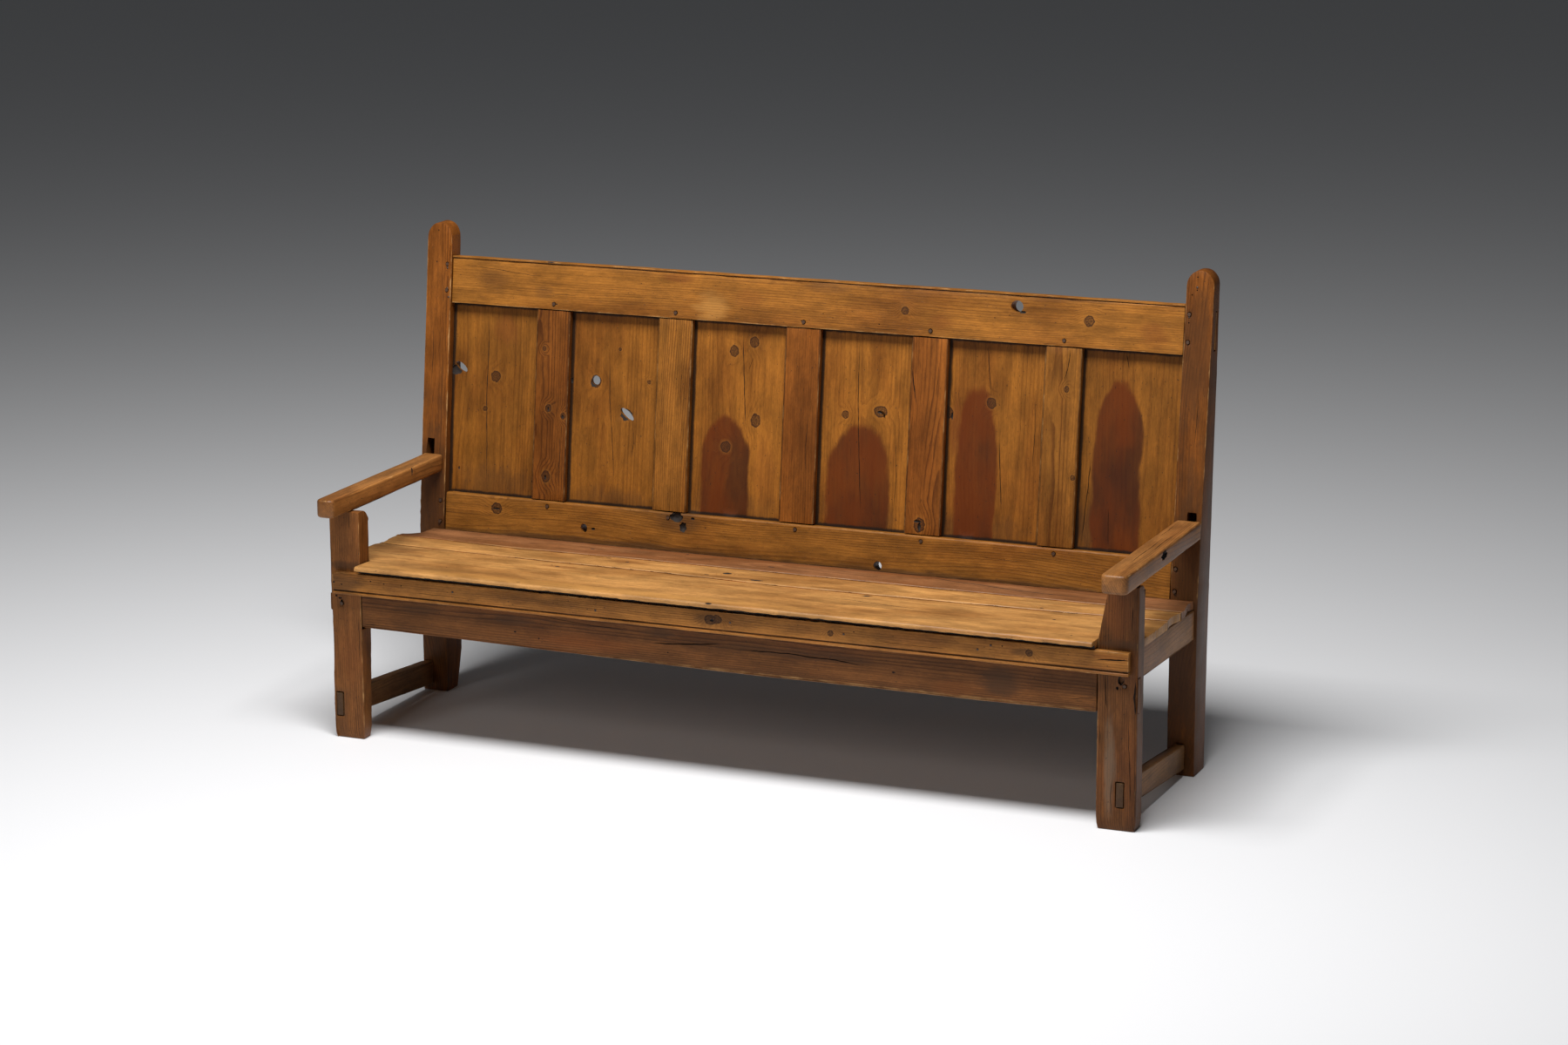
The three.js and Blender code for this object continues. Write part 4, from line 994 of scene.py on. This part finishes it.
# %% Bend boards to the joints
FIRST_JOINT = [(-980, 266), (-846, 260), (-584, 248), (-229, 246), (80, 230), (412, 238), (695, 248),
               (980, 264)]
SECOND_JOINT = [(-980, 361), (-859, 360), (-715, 350), (-656, 345), (-300, 357), (980, 357)]
FIRST_JOINT_AT = 0.249
SECOND_JOINT_AT = 0.357
REAR_EDGE_AT = 0.473
NOTCHES_END_AT = 0.09
BEND_SLACK = 0.02
first_joint = [level(*point) for point in FIRST_JOINT]
second_joint = [level(*point) for point in SECOND_JOINT]


def board_shape(front_at, front_line, back_at, back_line, soften=2.5, still_below=-1.0):
    """How a board is worn: its two long edges are brought to two broken lines."""
    def bend(point):
        moved = point.copy()
        if point.y > still_below:
            share = (point.y - front_at) / (back_at - front_at)
            front_move = on_line(front_line, point.x) - front_at if front_line else 0.0
            back_move = on_line(back_line, point.x) - back_at if back_line else 0.0
            moved.y += front_move * (1 - share) + back_move * share
        return moved

    return {"bend": bend, "soften": soften, "slack": BEND_SLACK}


# %% Wear the seat boards
SEAT_FINISH = {"local": SEAT, "slot": "seat_pine", "sheen": 0.28, "stripes": 0.3}
make("seat_board_1", tone="seat", seed=25.0, **SEAT_FINISH, pith=(0.05, -0.11), rings=130.0,
     contrast=0.55, light=0.92, rubbed=0.4,
     shape=board_shape(0.0, None, FIRST_JOINT_AT, first_joint, still_below=NOTCHES_END_AT),
     blotches=[("red", -470, 205, 60, 14, 0.5), ("dark", 285, 218, 14, 8, 0.7),
               ("red", 90, 200, 160, 30, 0.3), ("pale", -300, 30, 600, 24, 0.4)],
     cracks=[(3.2, 6, [(213, 164), (263, 168), (340, 156), (405, 148), (449, 140)]),
             (2.2, 5, [(209, 123), (330, 123), (455, 126), (527, 150)]),
             (2.5, 5, [(-906, 166), (-850, 170), (-794, 176)])],
     dents=[(-474, 205, 7, 3, 2), (-492, 213, 3, 2, 2), (285, 217, 7, 5, 3), (740, 173, 4, 3, 2),
            (822, 46, 3, 2, 2), (-480, 16, 5, 2, 2), (-6, 4, 8, 3, 2), (-700, 90, 2, 1.5, 2)])
make("seat_board_2", tone="seat", seed=26.0, **SEAT_FINISH, pith=(0.02, -0.06), contrast=0.6,
     light=0.95, rubbed=0.35,
     shape=board_shape(FIRST_JOINT_AT, first_joint, SECOND_JOINT_AT, second_joint),
     knots=[(-91, 303, 10, 8)],
     blotches=[("dark", -60, 268, 90, 10, 0.5), ("red", -349, 320, 60, 16, 0.5)],
     dents=[(-2, 263, 16, 5, 3), (-91, 303, 11, 6, 3), (-128, 272, 7, 3, 2), (678, 270, 5, 3, 3),
            (-406, 338, 6, 2.5, 2), (-349, 317, 5, 3, 2)])
make("seat_board_3", tone="rear", seed=27.0, **SEAT_FINISH, pith=(0.01, -0.06), contrast=0.55,
     rubbed=0.3,
     shape=board_shape(SECOND_JOINT_AT, second_joint, REAR_EDGE_AT, None, soften=2.0),
     # The long dark blotch at the rear edge is painted shade where the seat meets the back rail.
     blotches=[("red", 0, 462, 900, 20, 0.55), ("dark", -100, 472, 900, 8, 0.8),
               ("red", -405, 388, 120, 24, 0.4)],
     cracks=[(4.0, 7, [(292, 463), (362, 455), (420, 442), (486, 432), (531, 423), (596, 414), (670, 409),
                       (761, 413)])],
     dents=[(-26, 407, 9, 3, 2), (-485, 415, 6, 3, 2), (-258, 455, 4, 2.5, 2)])


# %% Cut the joints and the ends of the boards
SEAT_TOP = local_box("seat_board_1", SEAT)[1].z
JOINT_DEPTH = 15.0
JOINT_END = 0.950
for front, back, line, width in (("seat_board_1", "seat_board_2", first_joint, 4.2),
                                 ("seat_board_2", "seat_board_3", second_joint, 3.0)):
    joint = [point for point in line if abs(point[0]) < 0.90]
    joint = [(-JOINT_END, joint[0][1]), *joint, (JOINT_END, joint[-1][1])]
    for name in (front, back):
        carve(pieces[name], [crack(SEAT, SEAT_TOP, joint, width, JOINT_DEPTH)])
# How far the boards still reach at each depth of the bench, in metres from its middle.
RIGHT_END = [(-0.290, 0.976), (-0.176, 0.976), (-0.109, 0.974), (-0.018, 0.971), (0.026, 0.965),
             (0.082, 0.972), (0.112, 0.971), (0.167, 0.960), (0.215, 0.967)]
LEFT_END = [(-0.290, 0.975), (-0.050, 0.974), (-0.032, 0.977), (-0.010, 0.965), (0.023, 0.967),
            (0.058, 0.976), (0.107, 0.975), (0.118, 0.963), (0.135, 0.946), (0.144, 0.939),
            (0.179, 0.938), (0.215, 0.933)]
END_BEYOND = 1.0
BELOW_SEAT = 0.370
ABOVE_SEAT = 0.440
for name in ("seat_board_1", "seat_board_2", "seat_board_3"):
    wood = pieces[name].data.materials[0]
    for side, outline in ((-1, RIGHT_END), (1, LEFT_END)):
        points = [(depth, side * reach) for depth, reach in outline]
        slab = broken_edge(SIDE_RAILS, points, side * END_BEYOND, BELOW_SEAT, ABOVE_SEAT, 2.5, wood)
        carve(pieces[name], [slab])


# %% [markdown]
# ## The edge strip
# A strip with a scratched bead is nailed on under the rounded front of the seat. It shrank away from
# it over the years, and a dark gap shows. The gap could be left open in the imported model, but it is
# ragged and only some millimetres high, so a rough bar is cut from the strip and from the board. The
# cut faces take the near-black fill, painted shade in the gap, and the dark line along the bead is
# painted shade in its groove.

# %% Make the edge strip
BEAD_LINE = 0.3583
make("seat_edge_moulding", FRONT_RAILS, "strip", 28.0, "brown_pine", contrast=0.6, light=1.3,
     lines=((BEAD_LINE, QUIRK_HALF),),
     knots=[(-8, 381, 13, 11), (8, 383, 12, 10), (279, 379, 7, 7), (737, 381, 8, 8)],
     blotches=[("dark", -14, 381, 36, 16, 0.5), ("dark", 722, 381, 26, 10, 0.5),
               ("dark", -940, 380, 60, 40, 0.6), ("red", 920, 390, 60, 8, 0.5)],
     cracks=[(3.5, 6, [(884, 382), (920, 384), (951, 386), (966, 386)]),
             (1.6, 1.6, [(-760, 372), (-650, 371), (-560, 369)]),
             (1.6, 1.6, [(380, 372), (480, 370), (560, 371)])],
     dents=[(-955, 378, 3, 2, 2), (-935, 374, 2, 2, 2), (-859, 388, 2, 1.5, 2), (-825, 385, 2, 1.5, 2),
            (-780, 385, 1.5, 1.5, 2), (334, 387, 1.6, 1.6, 2), (676, 390, 1.6, 1.6, 2), (-4, 380, 5, 3, 2)])
STRIP_FACE = local_box("seat_edge_moulding", FRONT_RAILS)[1].z
STRIP_TOP = [(-0.965, 0.4025), (-0.5, 0.4020), (-0.2, 0.4010), (0.1, 0.4005), (0.5, 0.4020),
             (0.965, 0.4025)]
NOSING_FOOT = [(-0.990, 0.4125), (-0.6, 0.4135), (-0.1, 0.4120), (0.3, 0.4130), (0.7, 0.4120),
               (0.990, 0.4130)]
# The line, the height beyond it, how deep and how far out of the strip's face, and the raggedness.
# The cut faces take the near-black fill, painted shade in the gap.
for node, *gap in (("seat_edge_moulding", STRIP_TOP, 0.412, 7.0 * MM, ABOVE_FACE, 2.0),
                   ("seat_board_1", NOSING_FOOT, 0.395, 4.0 * MM, 30.0 * MM, 1.5)):
    line, beyond, inwards, outwards, ragged = gap
    bar = broken_edge(FRONT_RAILS, line, beyond, STRIP_FACE - inwards, STRIP_FACE + outwards, ragged)
    carve(pieces[node], [bar])


# %% [markdown]
# ## The apron
# The apron joins the front legs under the seat. Its lower edge sags in the middle and it is split
# along the grain. A curve modifier could bow it, but it would bow the upper edge too, so its points
# are moved by a bowed line, the lower the more.

# %% Make the apron
APRON_FOOT_AT = 0.264
SAG_STARTS_AT = 0.345
APRON_FOOT = [(-0.975, 0.273), (-0.658, 0.269), (-0.393, 0.265), (-0.134, 0.261), (0.120, 0.259),
              (0.368, 0.260), (0.611, 0.2585), (0.980, 0.262)]


def sag(point):
    """Lowers or lifts the foot of the apron to its bowed line, and less so higher up."""
    share = max(0.0, min(1.0, (SAG_STARTS_AT - point.y) / (SAG_STARTS_AT - APRON_FOOT_AT)))
    moved = point.copy()
    moved.y += (on_line(APRON_FOOT, point.x) - APRON_FOOT_AT) * share
    return moved


make("front_apron", FRONT_RAILS, "brown", 29.0, "brown_pine", pith=(0.03, -0.05), contrast=0.7,
     shape={"bend": sag, "soften": 2.0, "nibble": 1.0, "slack": BEND_SLACK}, rubbed=0.3, light=0.92,
     blotches=[("dark", 668, 306, 50, 34, 0.85), ("dark", -133, 334, 50, 12, 0.7),
               ("dark", -502, 326, 60, 12, 0.6), ("dark", -747, 328, 60, 12, 0.5),
               ("dark", 180, 318, 220, 12, 0.5), ("red", -300, 290, 120, 18, 0.4),
               ("red", 560, 280, 60, 20, 0.3)],
     cracks=[(2.2, 6, [(-894, 328), (-814, 328), (-724, 324), (-635, 325), (-546, 321), (-480, 322),
                       (-392, 322), (-349, 316), (-262, 321), (-187, 320)]),
             (3.2, 8, [(-165, 308), (-101, 311), (-48, 316), (15, 323)]),
             (2.7, 8, [(36, 313), (99, 315), (172, 317), (224, 314), (286, 314), (337, 308), (374, 306)]),
             (1.6, 4, [(-889, 279), (-868, 280), (-848, 279)]),
             (1.6, 4, [(824, 283), (850, 288), (881, 291)]),
             (1.6, 3, [(-479, 348), (-392, 340), (-305, 333), (-197, 333)])],
     dents=[(-500, 300, 3, 2, 2), (-440, 290, 2, 2, 2), (-120, 290, 2, 1.5, 2), (420, 300, 4, 2, 2)])


# %% [markdown]
# ## The legs
# The front legs have soft edges, and their feet have lost their corners. Wider bevels at the feet
# would look new, so the points there are drawn in, most at the floor, and finer cuts give the legs
# enough points for it. The right leg is split along the grain and has a slot near its outer edge.

# %% Draw in the feet
FOOT_WEAR_HEIGHT = 0.030
FOOT_WEAR = 0.004


def wear_foot(node, local):
    """A bend that draws in the lowest corners of a leg."""
    low, high = local_box(node, local)
    middle = (low + high) / 2

    def bend(point):
        share = max(0.0, 1.0 - (point.x - low.x) / FOOT_WEAR_HEIGHT) ** 2
        moved = point.copy()
        for axis in (1, 2):
            offset = point[axis] - middle[axis]
            reach = (high[axis] - low[axis]) / 2
            moved[axis] -= FOOT_WEAR * share * (offset / reach) ** 3
        return moved

    return bend


# %% Wear the legs
def make_leg(node, seed, light, **marks):
    shape = {"soften": 2.4, "step": 14.0, "width_step": 14.0, "bend": wear_foot(node, LEGS)}
    make(node, LEGS, "brown", seed, "brown_pine", shape, contrast=0.8, rings=260.0, light=light, **marks)


make_leg("front_leg_left", 30.0, 1.30,
     blotches=[("dark", -935, 414, 12, 60, 0.7), ("dark", -953, 45, 60, 16, 0.4),
               ("red", -930, 200, 90, 30, 0.3)],
     cracks=[(1.6, 4, [(-921, 541), (-922, 518), (-920, 500)]),
             (1.6, 3, [(-905, 300), (-903, 240), (-906, 180)])],
     dents=[(-946, 329, 5, 3, 3), (-960, 341, 3, 2, 3), (-950, 336, 2, 5, 2)])
make_leg("front_leg_right", 31.0, 0.72,
     blotches=[("dark", 930, 414, 12, 60, 0.7), ("grey", 915, 130, 120, 14, 0.4),
               ("red", 925, 480, 60, 30, 0.4)],
     cracks=[(2.4, 6, [(902, 345), (904, 300), (907, 269)]), (1.6, 4, [(921, 27), (919, 80), (922, 120)]),
             (1.9, 4, [(956, 245), (960, 150), (965, 52)]), (1.6, 3, [(892, 238), (893, 180)]),
             (6.0, 6, [(970, 334), (970, 300), (971, 262)]),
             (1.8, 4, [(962, 500), (961, 470), (960, 440)])],
     dents=[(938, 335, 9, 7, 8), (944, 359, 5, 4, 6), (930, 318, 4, 3, 4)])


# %% [markdown]
# ## The rest of the frame
# Side rails, low stretchers, bearers and the rear rail hardly show, so a loop gives them plain wear
# and no marks of their own. Their side tone is paler than the brown of the legs: painted light on
# faces that the lamps hardly reach. End grain drinks dirt, and the stretchers come through the legs,
# so the ends are darker.

# %% Make the rest of the frame
END_GRIME = 0.75
STRETCHER_LIGHT = 0.75
# The side tone paints in light that the side faces don't get.
for i, node in enumerate(("side_seat_rail_left", "side_seat_rail_right", "low_stretcher_left",
                          "low_stretcher_right", "seat_bearer_left", "seat_bearer_right")):
    make(node, SIDE_RAILS, "side", 32.0 + i, "brown_pine", ends=END_GRIME,
         light=STRETCHER_LIGHT if "stretcher" in node else 1.0)
make("rear_seat_rail", FRONT_RAILS, "brown", 38.0, "brown_pine")


# %% [markdown]
# ## Nails
# Small iron nails hold the strip and the ends of the rails. Their shanks don't show, so a nail is its
# head alone: a flattened ball that sinks a little into the wood. It is made once, and each copy has
# its own mesh.

# %% Drive the nails
NAIL_RADIUS = 2.6
NAIL_HEIGHT = 1.1
NAIL_SUNK = 1.2
nail_iron = specked("nail_iron", (600.0, 600.0, 600.0), (0.010, 0.009, 0.009, 1),
                    (0.060, 0.028, 0.014, 1), 0.5)
STRIP_NAILS = [(-648, 383), (-289, 375), (40, 379), (310, 380), (620, 377), (650, 389)]
POST_NAILS = [(-919, 610), (-918, 561), (-914, 540), (919, 613), (934, 679)]
bpy.ops.object.select_all(action="DESELECT")
bpy.ops.mesh.primitive_uv_sphere_add(segments=14, ring_count=8, radius=1)
nail_head = bpy.context.object
set_mode("EDIT")
bpy.ops.transform.resize(value=(NAIL_RADIUS * MM, NAIL_RADIUS * MM, NAIL_HEIGHT * MM))
set_mode("OBJECT")
bpy.ops.object.shade_smooth()
nail_head.data.materials.append(nail_iron)


def drive_nail(name, local, face, x, height):
    """A copy of the head in a face of a frame, x mm along and height mm up."""
    copy = bpy.data.objects.new(name, nail_head.data.copy())
    bpy.context.scene.collection.objects.link(copy)
    place = (*on_face(local, x, height), face - NAIL_SUNK * MM)
    copy.data.transform(local @ Matrix.Translation(place))
    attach(copy, "root")


for i, (x, height) in enumerate(STRIP_NAILS):
    drive_nail(f"strip_nail_{i + 1}", FRONT_RAILS, STRIP_FACE, x, height)
for i, (x, height) in enumerate(POST_NAILS):
    face = local_box("back_post_left" if x < 0 else "back_post_right", BACK_UPRIGHTS)[1].z
    drive_nail(f"post_nail_{i + 1}", BACK_UPRIGHTS, face, x, height)
bpy.data.objects.remove(nail_head, do_unlink=True)
print("nails:", len(STRIP_NAILS), "in the strip,", len(POST_NAILS), "in the posts")


# %% [markdown]
# ## Smooth and sharp
# The worn edges look round when the light runs over them smoothly, and cracks need a crisp rim. One
# angle tells the two apart. It comes last, because each cut brings new edges, and the normals that
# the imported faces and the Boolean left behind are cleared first.

# %% Shade all the timbers
SMOOTH_ANGLE = math.radians(38)
for piece in pieces.values():
    only(piece)
    bpy.ops.mesh.customdata_custom_splitnormals_clear()
    bpy.ops.object.shade_smooth_by_angle(angle=SMOOTH_ANGLE, keep_sharp_edges=False)
print("faces in all:", sum(len(piece.data.polygons) for piece in pieces.values()))


# %% [markdown]
# ## The pegs
# The pegs that lock the joints are small and right as packed, so their shapes stay. Only the slots of
# their objects get a new material. Their ends show end grain that has drunk dirt and wax, so they are
# darker than the timbers around them.

# %% Finish the pegs
peg_wood = specked("peg_wood", (700.0, 90.0, 700.0), (0.014, 0.007, 0.004, 1), (0.090, 0.036, 0.012, 1),
                   0.55, detail_rough=0.6, low=0.3, high=0.7)
pegs = [node for name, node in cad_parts.items() if "peg" in name]
for peg in pegs:
    for peg_slot in peg.material_slots:
        peg_slot.link = "OBJECT"
        peg_slot.material = peg_wood
print("pegs:", len(pegs))
